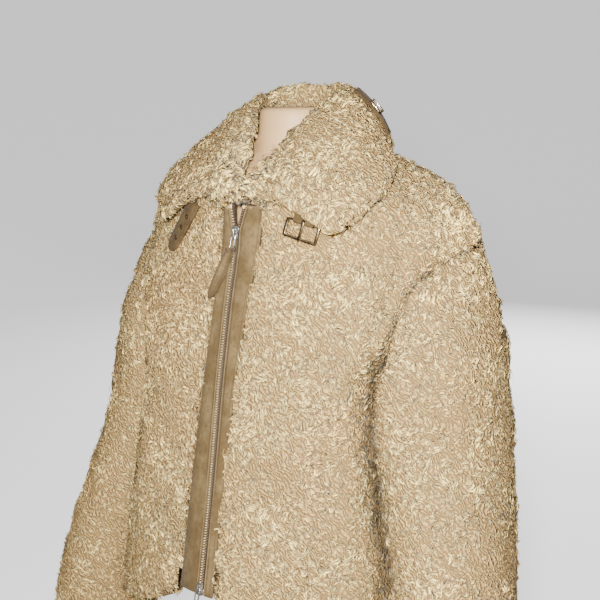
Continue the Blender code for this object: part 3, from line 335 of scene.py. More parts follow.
@dataclass(frozen=True)
class TapeFinish:
    """Woven zip tape with fine ribs across it."""

    light: Colour = (0.060, 0.034, 0.014)
    dark: Colour = (0.022, 0.012, 0.006)

    def made(self) -> bpy.types.Material:
        """The material."""
        s = Shader("zip_tape")
        weave = s.maths("MULTIPLY", s.bands(310.0, 0.6, "Z"), s.bands(240.0, 0.4))
        faded = s.blend(s.within(s.noise(60.0, 3.0), 0.4, 0.7, (0.0, 0.4)), self.light, (0.10, 0.06, 0.028))
        s.set(Base_Color=s.blend(weave, self.dark, faded), Roughness=0.8)
        s.raised(weave, 0.0003, 0.8)
        return s.material


@dataclass(frozen=True)
class MetalFinish:
    """Plated metal, rubbed bright where it is handled and dull between."""

    name: str
    bright: Colour
    dull: Colour
    roughness: tuple[float, float] = (0.22, 0.42)
    scuffed: float = 0.5
    metallic: float = 1.0

    def made(self) -> bpy.types.Material:
        """The material."""
        s = Shader(self.name)
        patina, scuffs = s.noise(340.0, 5.0), s.noise(1800.0, 2.0, s.stretched(1.0, 1.0, 0.2))
        plate = s.blend(s.within(patina, 0.42, 0.62), self.bright, self.dull)
        s.set(Base_Color=plate, Metallic=self.metallic)
        s.set(Roughness=s.within(s.maths("ADD", patina, scuffs), 0.6, 1.4, self.roughness))
        s.raised(scuffs, 0.00008, self.scuffed)
        return s.material


@dataclass(frozen=True)
class ThreadFinish:
    """Twisted sewing thread."""

    name: str
    colour: Colour

    def made(self) -> bpy.types.Material:
        """The material."""
        s = Shader(self.name)
        ply = s.noise(2600.0, 1.0)
        twist = s.blend(s.within(ply, 0.3, 0.7, (0, 0.5)), self.colour, (0.06, 0.036, 0.016))
        s.set(Base_Color=twist, Roughness=0.7)
        return s.material


@dataclass(frozen=True)
class ShellFinish:
    """The dress form's matt skin."""

    base: Colour = (0.530, 0.325, 0.142)
    shade: Colour = (0.470, 0.275, 0.112)

    def made(self) -> bpy.types.Material:
        """The material."""
        s = Shader("form_skin")
        clouds, grain = s.noise(14.0, 4.0), s.noise(900.0, 3.0)
        tone = s.blend(s.within(clouds, 0.35, 0.7), self.base, self.shade)
        grained = s.blend(s.within(grain, 0.3, 0.7, (0, 0.08)), tone, (0.8, 0.7, 0.6))
        s.set(Base_Color=grained, Roughness=0.55)
        s.raised(grain, 0.0001, 0.4)
        return s.material


@dataclass(frozen=True)
class PaintedSteelFinish:
    """Satin grey paint on the form's stand."""

    base: Colour = (0.330, 0.330, 0.325)

    def made(self) -> bpy.types.Material:
        """The material."""
        s = Shader("painted_steel")
        clouds, peel = s.noise(22.0, 4.0), s.noise(700.0, 2.0)
        s.set(Base_Color=s.blend(s.within(clouds, 0.4, 0.7, (0, 0.5)), self.base, (0.26, 0.26, 0.255)))
        s.set(Metallic=0.35, Roughness=s.within(clouds, 0.3, 0.7, (0.34, 0.48)))
        s.raised(peel, 0.00012, 0.4)
        return s.material


@dataclass(frozen=True)
class PaperFinish:
    """The studio's plain pale sweep."""

    colour: Colour = (0.45, 0.45, 0.45)
    glow: Colour = (0.93, 0.93, 0.93)

    def made(self) -> bpy.types.Material:
        """The material."""
        s = Shader("studio_paper")
        clouds = s.within(s.noise(3.0), 0.3, 0.7, (0, 0.06))
        s.set(Base_Color=s.blend(clouds, self.colour, (0.42, 0.42, 0.42)), Roughness=0.95)
        s.set(Emission_Color=self.glow, Emission_Strength=0.84)
        return s.material


# ---- Working with meshes ----

UP = Vector((0, 0, 1))

def node_bmesh(node: bpy.types.Object) -> bmesh.types.BMesh:
    """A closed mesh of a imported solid, whose own faces are loose triangles.

    Args:
        node: The solid's object.

    Returns:
        The merged mesh.
    """
    bm = bmesh.new()
    bm.from_mesh(node.data)
    bmesh.ops.remove_doubles(bm, verts=bm.verts, dist=1e-5)
    return bm


def quads_joined(bm: bmesh.types.BMesh) -> None:
    """Joins the triangles that made up flat or nearly flat four-sided faces."""
    angles = {"angle_face_threshold": math.radians(40), "angle_shape_threshold": math.radians(60)}
    bmesh.ops.join_triangles(bm, faces=bm.faces, **angles)


def spun(bm: bmesh.types.BMesh, profile: list[bmesh.types.BMVert | bmesh.types.BMEdge], steps: int) -> None:
    """Spins a profile all the way round the z axis, and joins its ends."""
    turn = 2 * math.pi
    bmesh.ops.spin(bm, geom=profile, cent=(0, 0, 0), axis=UP, angle=turn, steps=steps, use_merge=True)


def round_off(
    bm: bmesh.types.BMesh,
    edges: list[bmesh.types.BMEdge],
    width: float,
    segments: int,
    clamped: bool = False,
) -> None:
    """Rounds edges off.

    Args:
        bm: The mesh.
        edges: Its edges to round.
        width: How wide the rounding is.
        segments: How many faces round each edge.
        clamped: Whether a rounding stops short of its neighbours'.
    """
    bmesh.ops.bevel(
        bm,
        geom=edges,
        offset=width,
        offset_type="OFFSET",
        segments=segments,
        profile=0.5,
        affect="EDGES",
        clamp_overlap=clamped,
        material=-1,
    )


def tree_of(nodes: Iterable[bpy.types.Object]) -> BVHTree:
    """One search tree of some solids' faces."""
    points, faces = [], []
    for node in nodes:
        start = len(points)
        points += [v.co.copy() for v in node.data.vertices]
        faces += [[start + i for i in p.vertices] for p in node.data.polygons]
    return BVHTree.FromPolygons(points, faces)


def kept_on(mesh: bpy.types.Mesh, label: str, values: np.ndarray) -> None:
    """Keeps a number on each of a mesh's points, for its finish to read."""
    attribute = mesh.attributes.new(label, "FLOAT", "POINT")
    attribute.data.foreach_set("value", values.astype(np.float32))


def added(name: str, data: bpy.types.ID) -> bpy.types.Object:
    """A new object at the origin of the scene."""
    made = bpy.data.objects.new(name, data)
    bpy.context.scene.collection.objects.link(made)
    return made


def object_from(
    bm: bmesh.types.BMesh, name: str, finish: bpy.types.Material, smooth: float = 40.0
) -> bpy.types.Object:
    """The bmesh as an object at the origin, shaded smooth up to an angle.

    Args:
        bm: The mesh, which is freed.
        name: The object's name.
        finish: Its material.
        smooth: The sharpest angle that is shaded smooth, in degrees.

    Returns:
        The object.
    """
    mesh = bpy.data.meshes.new(name)
    bm.to_mesh(mesh)
    bm.free()
    mesh.shade_smooth()
    mesh.set_sharp_from_angle(angle=math.radians(smooth))
    mesh.materials.clear()
    mesh.materials.append(finish)
    return added(name, mesh)


def placed(made: bpy.types.Object, body: Body, slot: Slot, *nodes: str) -> bpy.types.Object:
    """Lets a finished piece ride on its body, and stand for its solids.

    Args:
        made: The piece.
        body: What it moves with.
        slot: The record's material slot for it; not used.
        nodes: The solids it is shown in place of.

    Returns:
        The piece.
    """
    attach(made, body.value)
    if nodes:
        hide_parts(*nodes)
    count = sum(len(p.vertices) - 2 for p in made.data.polygons)
    log.info("%s: %d triangles", made.name, count)
    return made


def frame_from(place: Vector, along: Vector, outwards: Vector) -> Matrix:
    """A frame whose y runs along a line and whose z points out of the surface."""
    z = outwards.normalized()
    y = (along - z * along.dot(z)).normalized()
    return Matrix.Translation(place) @ Matrix((y.cross(z), y, z)).transposed().to_4x4()


def unit(vectors: np.ndarray) -> np.ndarray:
    """The vectors at length one."""
    return vectors / np.maximum(np.linalg.norm(vectors, axis=-1, keepdims=True), 1e-12)


@dataclass(frozen=True)
class SmoothField:
    """A smooth random field in space with a mean of 0 and a spread of 1."""

    size: float
    seed: int
    waves: int = 22

    def at(self, points: np.ndarray) -> np.ndarray:
        """The field's values.

        Args:
            points: Places, one a row.

        Returns:
            One number for each place.
        """
        rng = np.random.default_rng(self.seed)
        ways = unit(rng.normal(size=(self.waves, 3))) * rng.uniform(0.6, 1.5, (self.waves, 1))
        phases = rng.uniform(0, 2 * math.pi, self.waves)
        angles = points @ (ways.T * (2 * math.pi / self.size)) + phases
        return np.cos(angles).sum(axis=1) * math.sqrt(2 / self.waves)


# ---- Pile ----


@dataclass
class TuftShapes:
    """A set of small curled tufts, each a handful of locks about one unit long.

    The locks of a tuft rise off the cloth side by side, bend over along +X and curl the same way.
    """

    variants: int = 48
    locks: int = 5
    segments: int = 5
    seed: int = 5
    spread: tuple[float, float] = (0.24, 0.34)
    rise: tuple[float, float] = (18.0, 44.0)
    fall: tuple[float, float] = (-48.0, -20.0)
    curl: tuple[float, float] = (15.0, 150.0)
    wave: tuple[float, float] = (36.0, 68.0)
    wave_turn: float = 400.0
    lengths: tuple[float, float] = (0.82, 1.15)
    variety: tuple[float, float] = (0.75, 1.25)
    middle_rise: float = 10.0
    fan: float = 22.0
    fan_roll: float = 34.0
    heel: tuple[float, float] = (-0.38, 0.10)
    unevenness: float = 0.08
    width: float = 0.230
    taper: tuple[float, ...] = (0.80, 1.05, 1.10, 1.05, 0.85, 0.40)
    stray_odds: float = 0.6
    stray_width: float = 0.45
    stray_length: float = 1.10
    stray_rise: float = 14.0
    stray_fall: float = 30.0

    def lock(
        self,
        bm: bmesh.types.BMesh,
        across: float,
        curl: float,
        wave: tuple[float, float],
        rng: np.random.Generator,
        stray: bool,
    ) -> dict[bmesh.types.BMVert, tuple[float, float, float]]:
        """Adds one lock to a tuft.

        Args:
            bm: The tuft.
            across: How far to the side of the tuft's middle it stands, from -1 to 1.
            curl: How far the tuft turns, in degrees.
            wave: How far the tuft sways from side to side, and where the sway starts, in degrees.
            rng: Where its own bend comes from.
            stray: Whether it is a thin one that stands out of the tuft.

        Returns:
            For each of its points, how far along the lock it is, how light the lock is and which
            side it is on.
        """
        verts = bmesh.ops.create_grid(bm, x_segments=1, y_segments=self.segments, size=0.5)["verts"]
        rows: dict[int, list[bmesh.types.BMVert]] = {}
        for vert in verts:
            rows.setdefault(round((vert.co.y + 0.5) * self.segments), []).append(vert)
        ridge = 1.0 - across * across
        length = rng.uniform(*self.lengths) * (self.stray_length if stray else 1.0)
        rise = rng.uniform(*self.rise) + (self.stray_rise if stray else self.middle_rise * ridge)
        fall = rng.uniform(*self.fall) + (self.stray_fall if stray else 0.0)
        turn = curl * rng.uniform(*self.variety)
        start = -0.30 * curl + rng.normal(0, 9.0) - across * self.fan
        roll = math.radians(across * self.fan_roll + rng.normal(0, 14.0))
        width = self.width * rng.uniform(*self.variety) * (self.stray_width if stray else 1.0)
        place = Vector((rng.normal(*self.heel), across * rng.uniform(*self.spread), 0.10 * ridge))
        # Painted highlight on the tuft's middle ridge and painted shade on its sides, with a random spread.
        light = min(1.0, max(0.0, 0.40 + 0.30 * ridge + rng.normal(0, 0.14)))
        marks = {}
        for row in range(self.segments + 1):
            share = row / self.segments
            pitch = math.radians(rise + (fall - rise) * min(1.0, share * 1.2))
            sway = wave[0] * math.sin(math.radians(wave[1] + self.wave_turn * share))
            yaw = math.radians(start + turn * share + sway)
            level = math.cos(pitch)
            ahead = Vector((level * math.cos(yaw), level * math.sin(yaw), math.sin(pitch)))
            if row:
                place = place + ahead * (length / self.segments)
            lean = math.cos(roll)
            flat = Vector((-math.sin(yaw) * lean, math.cos(yaw) * lean, -math.sin(roll)))
            for vert in rows[row]:
                marks[vert] = (share, light, 1.0 if vert.co.x > 0 else 0.0)
                vert.co = place + flat * (vert.co.x * width * self.taper[row])
        return marks

    def shape(self, rng: np.random.Generator, share: float) -> tuple[np.ndarray, np.ndarray, np.ndarray]:
        """One tuft.

        Args:
            rng: Where its bend comes from.
            share: Which tuft of the set it is, from 0 to 1; neighbours in the set bend alike.

        Returns:
            Its points, what the pile's finish needs of each, and its faces.
        """
        bm = bmesh.new()
        bent = 0.5 + 0.5 * math.cos(2 * math.pi * share)
        curl = self.curl[0] + (self.curl[1] - self.curl[0]) * bent
        wave = (rng.uniform(*self.wave), 360.0 * share)
        places = np.linspace(-1, 1, self.locks) + rng.normal(0, self.unevenness, self.locks)
        odd = rng.integers(0, self.locks) if rng.random() < self.stray_odds else -1
        marks = {}
        for i, across in enumerate(places):
            marks |= self.lock(bm, float(across), curl, wave, rng, stray=i == odd)
        bm.verts.index_update()
        points = np.array([v.co for v in bm.verts])
        kept = np.array([marks[v] for v in bm.verts])
        faces = np.array([[v.index for v in face.verts] for face in bm.faces])
        bm.free()
        return points, kept, faces

    def made(self) -> list[tuple[np.ndarray, np.ndarray, np.ndarray]]:
        """All the tufts."""
        rng = np.random.default_rng(self.seed)
        return [self.shape(rng, i / self.variants) for i in range(self.variants)]


@dataclass
class Pile:
    """The nap: how its tufts are sized, laid and coloured, wherever they grow."""

    length: float = 0.0102
    lengths: tuple[float, float] = (0.82, 1.22)
    heights: tuple[float, float] = (0.75, 1.10)
    shortest: float = 0.45
    lowest: float = 0.35
    root_depth: float = 0.0004
    root_spread: float = 0.0004
    lump_depth: float = 0.0007
    swirled: float = 0.75
    eddied: float = 0.50
    strayed: float = 0.18
    stilled: float = 0.6
    # How much painted shade falls on pile that other cloth covers.
    darkened: float = 0.46
    shapes: TuftShapes = field(default_factory=TuftShapes)
    swirl: SmoothField = SmoothField(0.090, 11)
    eddy: SmoothField = SmoothField(0.032, 12)
    tuft: SmoothField = SmoothField(0.017, 13)
    patch: SmoothField = SmoothField(0.150, 14)
    fleck: SmoothField = SmoothField(0.030, 15)
    phase: SmoothField = SmoothField(0.050, 16)
    handed: SmoothField = SmoothField(0.042, 17)
    wear_and_shade: SmoothField = SmoothField(0.085, 18)

    def __post_init__(self) -> None:
        """Makes the tuft shapes and their finish once."""
        self.tufts = self.shapes.made()
        self.finish = PileFinish().made()

    def grow(
        self,
        name: str,
        roots: np.ndarray,
        normals: np.ndarray,
        nap: np.ndarray,
        deep: np.ndarray,
        trim: np.ndarray,
        shelter: np.ndarray,
        seed: int,
    ) -> bpy.types.Object:
        """Grows a tuft at each root.

        Args:
            name: The piece's name.
            roots: Places on the cloth's outer surface.
            normals: The way out of the cloth at each.
            nap: The way the pile is brushed at each.
            deep: How far the ground lies under each.
            trim: How long the pile is at each, 1 being its own length.
            shelter: How much painted shade darkens the pile at each and how low it lies, 1 being wholly
                covered by other cloth.
            seed: What makes this piece's tufts its own.

        Returns:
            The pile as one object.
        """
        rng = np.random.default_rng(seed)
        count = len(roots)
        turn = self.swirled * self.swirl.at(roots) + self.eddied * self.eddy.at(roots)
        turn = turn + rng.normal(0, self.strayed, count)
        turn = turn * (1.0 - self.stilled * np.clip(shelter, 0.0, 1.0))
        flow = unit(nap - normals * np.sum(nap * normals, axis=1, keepdims=True))
        side = np.cross(normals, flow)
        ahead = flow * np.cos(turn)[:, None] + side * np.sin(turn)[:, None]
        hand = np.where(self.handed.at(roots) + rng.normal(0, 0.5, count) > 0, 1.0, -1.0)
        across = np.cross(normals, ahead) * hand[:, None]
        lumps, wear_and_shade = self.tuft.at(roots), self.wear_and_shade.at(roots)
        size = self.length * rng.uniform(*self.lengths, count)
        size = size * (1 + 0.09 * lumps + 0.10 * wear_and_shade + 0.12 * shelter)
        size = size * (self.shortest + (1 - self.shortest) * trim)
        stand = size * rng.uniform(*self.heights, count) * (self.lowest + (1 - self.lowest) * trim)
        depth = deep + self.root_depth - self.lump_depth * lumps
        depth = depth + rng.normal(0, self.root_spread, count)
        # Random tone, raised clumps painted lighter with painted shade in the hollows between, larger patches
        # of lighter and longer pile at random, and painted shade where other cloth covers the pile.
        shade = rng.normal(0, 0.07, count) + 0.10 * lumps + 0.07 * wear_and_shade - self.darkened * shelter
        hue = 0.5 + 0.20 * self.patch.at(roots) + 0.10 * self.fleck.at(roots)
        hue = np.clip(hue + rng.normal(0, 0.10, count), 0, 1)
        bend = (0.30 * self.phase.at(roots) + rng.normal(0, 0.07, count)) % 1.0
        which = np.minimum((bend * len(self.tufts)).astype(int), len(self.tufts) - 1)
        base = roots - normals * depth[:, None]
        points, faces, marks, start = [], [], [], 0
        for k, (shape, kept, quads) in enumerate(self.tufts):
            mine = np.nonzero(which == k)[0]
            if not len(mine):
                continue
            flat = shape[None, :, :2] * size[mine, None, None]
            high = shape[None, :, 2:] * stand[mine, None, None]
            world = base[mine, None] + ahead[mine, None] * flat[..., :1]
            world = world + across[mine, None] * flat[..., 1:] + normals[mine, None] * high
            points.append(world.reshape(-1, 3))
            firsts = start + np.arange(len(mine)) * len(shape)
            faces.append((quads[None] + firsts[:, None, None]).reshape(-1, 4))
            tone = np.clip(kept[None, :, 1] + shade[mine, None], 0, 1)
            along, side_of = (np.tile(kept[:, column], len(mine)) for column in (0, 2))
            marks.append(np.stack([along, tone.ravel(), np.repeat(hue[mine], len(shape)), side_of], axis=1))
            start += len(mine) * len(shape)
        return self.mesh(name, np.concatenate(points), np.concatenate(faces), np.concatenate(marks))

    def mesh(self, name: str, points: np.ndarray, faces: np.ndarray, marks: np.ndarray) -> bpy.types.Object:
        """The copied tufts as one mesh object.

        Args:
            name: The object's name.
            points: All their points.
            faces: All their faces.
            marks: For each point how far along its lock it is, its tone, its hue and its side.

        Returns:
            The object.
        """
        mesh = bpy.data.meshes.new(name)
        mesh.vertices.add(len(points))
        mesh.vertices.foreach_set("co", points.astype(np.float32).ravel())
        mesh.loops.add(faces.size)
        mesh.loops.foreach_set("vertex_index", faces.astype(np.int32).ravel())
        mesh.polygons.add(len(faces))
        mesh.polygons.foreach_set("loop_start", np.arange(0, faces.size, 4, dtype=np.int32))
        mesh.polygons.foreach_set("use_smooth", np.ones(len(faces), bool))
        for i, label in enumerate(("along", "tone", "hue", "side")):
            kept_on(mesh, label, marks[:, i])
        mesh.update(calc_edges=True)
        mesh.materials.append(self.finish)
        return added(name, mesh)


class Wrap(Enum):
    """How a cloth piece goes round the body, which says where its inside is."""

    TORSO = "torso"
    SLEEVE = "sleeve"
    COLLAR = "collar"


SLEEVE_LINE = (
    (0.205, 0.012, 0.640),
    (0.233, 0.008, 0.480),
    (0.249, -0.022, 0.355),
    (0.282, -0.060, 0.226),
    (0.302, -0.096, 0.080),
)
TORSO_LINE = ((0.0, 0.010, 0.700), (0.0, -0.010, 0.450), (0.0, -0.020, 0.150))


def nearest_on(line: np.ndarray, points: np.ndarray) -> np.ndarray:
    """The nearest place on a line of points to each point.

    Args:
        line: The line's corners, one a row.
        points: Places, one a row.

    Returns:
        A place on the line for each.
    """
    best, found = np.full(len(points), np.inf), np.zeros_like(points)
    for a, b in zip(line, line[1:]):
        step = b - a
        share = np.clip(((points - a) @ step) / (step @ step), 0, 1)
        there = a + share[:, None] * step
        off = np.linalg.norm(points - there, axis=1)
        closer = off < best
        best[closer], found[closer] = off[closer], there[closer]
    return found


class OpenAir:
    """How freely each place on the coat meets the open air."""

    reach = 0.30
    lift = 0.0015
    skin = 0.007
    looks = 14

    def __init__(self, nodes: Iterable[bpy.types.Object]) -> None:
        """Gathers the solids.

        Args:
            nodes: Their objects.
        """
        self.tree = tree_of(nodes)
        golden = math.pi * (3 - math.sqrt(5))
        self.ways = []
        for i in range(self.looks):
            height = (i + 0.5) / self.looks
            out = math.sqrt(1 - height * height)
            self.ways.append((out * math.cos(golden * i), out * math.sin(golden * i), height))

    def at(self, places: np.ndarray, normals: np.ndarray) -> np.ndarray:
        """The share of ways out that meet nothing, weighted towards straight out.

        Args:
            places: Points on the surface.
            normals: The way out at each.

        Returns:
            A share from 0 to 1 for each.
        """
        shares = np.zeros(len(places))
        total = sum(h for _, _, h in self.ways)
        for i, (place, normal) in enumerate(zip(places, normals)):
            z = Vector(normal)
            frame = z.to_track_quat("Z", "Y").to_matrix()
            start = Vector(place) + z * self.lift
            free = 0.0
            for way in self.ways:
                if self.is_free(start, frame @ Vector(way)):
                    free += way[2]
            shares[i] = free / total
        return shares

    def is_free(self, start: Vector, way: Vector) -> bool:
        """Whether a look out meets nothing, once it has left the solid's own coarse skin."""
        place, normal, _, off = self.tree.ray_cast(start, way, self.reach)
        if place is not None and off < self.skin and normal.dot(way) > 0:
            place = self.tree.ray_cast(place + way * 0.0001, way, self.reach)[0]
        return place is None


LUMPS = SmoothField(0.036, 41)
RIM = math.radians(50)  # a solid's edge sharper than this is kept sharp
SQUARE_CM = 1e4  # in a square metre
CLOSED_OFF = 0.05  # at this share of open air a place is wholly sheltered
OPENS_OVER = 0.50  # and over this much more it comes out into the open


@dataclass(frozen=True)
class Parting:
    """A line where the pile lies apart, such as a pocket's mouth or a soft valley, with painted shade along
    it.
    """

    line: tuple[tuple[float, float, float], ...]
    bare: float
    width: float
    shade: float
    ramp: float = 0.0045

    def off(self, places: np.ndarray) -> np.ndarray:
        """How far each place is from the line."""
        return np.linalg.norm(places - nearest_on(np.array(self.line), places), axis=1)

    def kept(self, places: np.ndarray) -> np.ndarray:
        """How long the pile is kept at each place, from 0 to 1."""
        if not self.bare:
            return np.ones(len(places))
        return np.clip((self.off(places) - self.bare) / self.ramp, 0.0, 1.0)

    def shaded(self, places: np.ndarray) -> np.ndarray:
        """How much painted shade darkens the pile at each place."""
        return self.shade * np.clip(1.0 - self.off(places) / self.width, 0.0, 1.0)


def sheltered(openness: np.ndarray) -> np.ndarray:
    """How closely other cloth covers a place, from 0 to 1."""
    return 1.0 - np.clip((openness - CLOSED_OFF) / OPENS_OVER, 0.0, 1.0)


class Trim:
    """The straps, buckles and pulls that the pile keeps clear of."""

    def __init__(self, nodes: dict[str, bpy.types.Object], clear: dict[str, tuple[float, float]]) -> None:
        """Gathers the solids.

        Args:
            nodes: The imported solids.
            clear: For each solid by name, how near no pile grows and how near it is cut short.
        """
        self.trees = [(tree_of([nodes[name]]), bare, short) for name, (bare, short) in clear.items()]

    def at(self, places: np.ndarray) -> np.ndarray:
        """How long the pile is kept at each place, from 0 to 1."""
        kept = np.ones(len(places))
        for i, place in enumerate(places):
            for tree, bare, short in self.trees:
                off = tree.find_nearest(Vector(place), short)[3]
                if off is not None:
                    kept[i] = min(kept[i], max(0.0, (off - bare) / (short - bare)))
        return kept


def spaced(points: np.ndarray, gaps: np.ndarray) -> np.ndarray:
    """Which points to keep, so that none is nearer to an earlier one than its gap.

    Args:
        points: Places, one a row.
        gaps: The least distance wanted round each.

    Returns:
        The kept points' indices.
    """
    tree = KDTree(len(points))
    for i, point in enumerate(points):
        tree.insert(point, i)
    tree.balance()
    alive = np.ones(len(points), bool)
    for i, point in enumerate(points):
        if alive[i]:
            for _, other, _ in tree.find_range(point, gaps[i]):
                if other > i:
                    alive[other] = False
    return np.nonzero(alive)[0]


@dataclass
class FurPiece:
    """One cut piece of the coat: its backing cloth with the pile that grows on it."""

    node: str
    wrap: Wrap
    flat: tuple[float, float]
    area: float
    density: float
    seed: int
    parts: int = 1
    mirrored: bool = False
    edge_pull: float = 0.0
    edge_reach: float = 0.056
    edge_growth: float = 0.0
    partings: tuple[Parting, ...] = ()
    swell: float = 0.0024
    sink: float = 0.0032
    seam_sink: float = 0.0008
    sink_limits: tuple[float, float] = (0.0002, 0.0066)
    least_open: float = 0.012
    facing_in: float = -0.45
    root_gap: float = 0.0078
    tries: int = 4
    thins_under: float = 0.16
    sparsest: float = 0.25
    bent_over: float = 0.75
    edge_fade: float = 0.022
    level_over: float = 0.85
    rests_on: tuple[str, ...] = ("form_body",)

    def build(
        self, source: bpy.types.Object, air: OpenAir, trim: Trim, pile: Pile, backing: bpy.types.Material
    ) -> bpy.types.Object:
        """Makes the backing and grows its pile.

        Args:
            source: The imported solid.
            air: What says where pile would be hidden.
            trim: What the pile keeps clear of.
            pile: The nap.
            backing: The backing's finish.

        Returns:
            The backing cloth.
        """
        cloth = self.rounded(source, backing)
        mesh = cloth.data
        mesh.calc_loop_triangles()
        count = len(mesh.vertices)
        places = np.zeros(count * 3)
        mesh.vertices.foreach_get("co", places)
        places = places.reshape(-1, 3)
        corners = np.array([t.vertices[:] for t in mesh.loop_triangles])
        first, second, third = (places[corners[:, i]] for i in range(3))
        crossed = np.cross(second - first, third - first)
        flat_normals = unit(crossed)
        centres = places[corners].mean(axis=1)
        outer = self.is_outer(centres, flat_normals)
        openness = np.zeros(len(corners))
        openness[outer] = air.at(centres[outer], flat_normals[outer])
        furred = openness > self.least_open
        normals = np.zeros_like(places)
        for corner in range(3):
            np.add.at(normals, corners[furred, corner], crossed[furred])
        normals = unit(normals)
        depths = self.sink_ground(cloth, places, normals, corners, openness * furred)
        grown = self.plant(places, normals, flat_normals, depths, corners, openness * furred, trim, pile)
        placed(cloth, Body.COAT, Slot.FUR, self.node)
        return cloth

    def rounded(self, source: bpy.types.Object, backing: bpy.types.Material) -> bpy.types.Object:
        """The solid with its facets rounded off and its rims kept.

        Args:
            source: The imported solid.
            backing: Its finish.

        Returns:
            The cloth.
        """
        bm = node_bmesh(source)
        quads_joined(bm)
        crease = bm.edges.layers.float.new("crease_edge")
        for edge in bm.edges:
            if len(edge.link_faces) == 2 and edge.calc_face_angle() > RIM:
                edge[crease] = 1.0
        made = object_from(bm, f"{self.node}_cloth", backing, 60)
        modifier = made.modifiers.new("rounded", "SUBSURF")
        modifier.levels = modifier.render_levels = 1
        depsgraph = bpy.context.evaluated_depsgraph_get()
        mesh = bpy.data.meshes.new_from_object(made.evaluated_get(depsgraph))
        made.modifiers.clear()
        made.data = mesh
        return made

    def is_outer(self, centres: np.ndarray, normals: np.ndarray) -> np.ndarray:
        """Which faces aren't on the inside of the coat.

        Args:
            centres: The faces' middles.
            normals: The way out of each.

        Returns:
            True for each face on the outside or a rim.
        """
        if self.wrap is Wrap.COLLAR:
            return np.ones(len(centres), bool)
        line = np.array(SLEEVE_LINE if self.wrap is Wrap.SLEEVE else TORSO_LINE)
        if self.mirrored:
            line = line * np.array([-1, 1, 1])
        away = unit(centres - nearest_on(line, centres))
        return np.sum(away * normals, axis=1) > self.facing_in

    def sink_ground(
        self,
        cloth: bpy.types.Object,
        places: np.ndarray,
        normals: np.ndarray,
        corners: np.ndarray,
        openness: np.ndarray,
    ) -> np.ndarray:
        """Draws the furred side in, to leave its room to the pile, and marks it.

        Args:
            cloth: The cloth.
            places: Its points.
            normals: The way out at each point.
            corners: Its triangles.
            openness: How freely each meets the air, 0 where it carries no pile.

        Returns:
            How far each point was drawn in.
        """
        furred = openness > 0
        marked, seam = np.zeros(len(places)), np.zeros(len(places), bool)
        marked[corners[furred].ravel()] = 1.0
        covered, met = np.zeros(len(places)), np.zeros(len(places))
        for corner in range(3):
            np.add.at(covered, corners[furred, corner], sheltered(openness[furred]))
            np.add.at(met, corners[furred, corner], 1.0)
        # light is how little other cloth covers each point; the backing paints shade on the pile ground with
        # it.
        light = 1.0 - covered / np.maximum(met, 1.0)
        seam[corners[~furred].ravel()] = True
        ground = np.clip(self.sink - self.swell * LUMPS.at(places), *self.sink_limits)
        depths = marked * np.where(seam, self.seam_sink, ground)
        moved = places - normals * depths[:, None]
        cloth.data.vertices.foreach_set("co", moved.astype(np.float32).ravel())
        for label, values in (("outer", marked), ("open", light)):
            kept_on(cloth.data, label, values)
        cloth.data.update()
        return depths

    def plant(
        self,
        places: np.ndarray,
        normals: np.ndarray,
        flat_normals: np.ndarray,
        depths: np.ndarray,
        corners: np.ndarray,
        openness: np.ndarray,
        trim: Trim,
        pile: Pile,
    ) -> list[bpy.types.Object]:
        """Scatters roots evenly over the furred side and grows the pile from them.

        Args:
            places: The cloth's points before it was drawn in.
            normals: The way out at each point.
            flat_normals: The way out of each triangle.
            depths: How far each point was drawn in.
            corners: The triangles.
            openness: How freely each meets the air, 0 where nothing grows.
            trim: What the pile keeps clear of.
            pile: The nap.

        Returns:
            The pile, in as many pieces as it needs.
        """
        rng = np.random.default_rng(self.seed)
        sides = places[corners]
        areas = np.linalg.norm(np.cross(sides[:, 1] - sides[:, 0], sides[:, 2] - sides[:, 0]), axis=1) / 2
        weight = np.clip(openness / self.thins_under, 0.0, 1.0) ** 0.5
        wanted = areas * (weight > 0)
        count = int(wanted.sum() * SQUARE_CM * self.density * self.tries)
        which = rng.choice(len(corners), count, p=wanted / wanted.sum())
        a, b = rng.random(count), rng.random(count)
        over = a + b > 1
        a[over], b[over] = 1 - a[over], 1 - b[over]
        shares = np.stack([1 - a - b, a, b], axis=1)[:, :, None]
        roots = (sides[which] * shares).sum(axis=1)
        crowding = self.density * np.maximum(weight[which], self.sparsest)
        keep = spaced(roots, self.root_gap / np.sqrt(crowding))
        roots, which, shares = roots[keep], which[keep], shares[keep]
        smooth = unit((normals[corners[which]] * shares).sum(axis=1))
        turned = np.sum(smooth * flat_normals[which], axis=1) < self.bent_over
        smooth[turned] = flat_normals[which][turned]
        deep = (depths[corners[which]] * shares[..., 0]).sum(axis=1)
        lengths, shelter = trim.at(roots), sheltered(openness[which])
        for parting in self.partings:
            lengths, shelter = lengths * parting.kept(roots), shelter + parting.shaded(roots)
        nap = np.tile([0.0, 0.0, -1.0], (len(roots), 1))
        near = np.clip((self.edge_reach - np.abs(roots[:, 0])) / self.edge_fade, 0.0, 1.0)
        near = near * (roots[:, 1] < 0)
        nap[:, 0] -= self.edge_pull * np.sign(roots[:, 0]) * near
        flat = np.abs(smooth[:, 2]) > self.level_over
        nap[flat] = unit(roots[flat] * np.array([1.0, 1.0, 0.0]) + 1e-6)
        lengths = lengths * (1.0 + self.edge_growth * near)
        order = np.argsort(-roots[:, 2], kind="stable")
        order = order[lengths[order] > 0]
        grown = []
        for part, chosen in enumerate(np.array_split(order, self.parts)):
            label = f"{self.node}_pile" + (f"_{part + 1}" if self.parts > 1 else "")
            rows = (each[chosen] for each in (roots, smooth, nap, deep, lengths, shelter))
            grown.append(placed(pile.grow(label, *rows, self.seed * 10 + part), Body.COAT, Slot.FUR))
        return grown


# ---- Suede, zip and metal ----

FLAT = math.radians(2)  # faces that meet at less than this are joined
ROUNDED = math.radians(35)  # edges sharper than this are rounded off


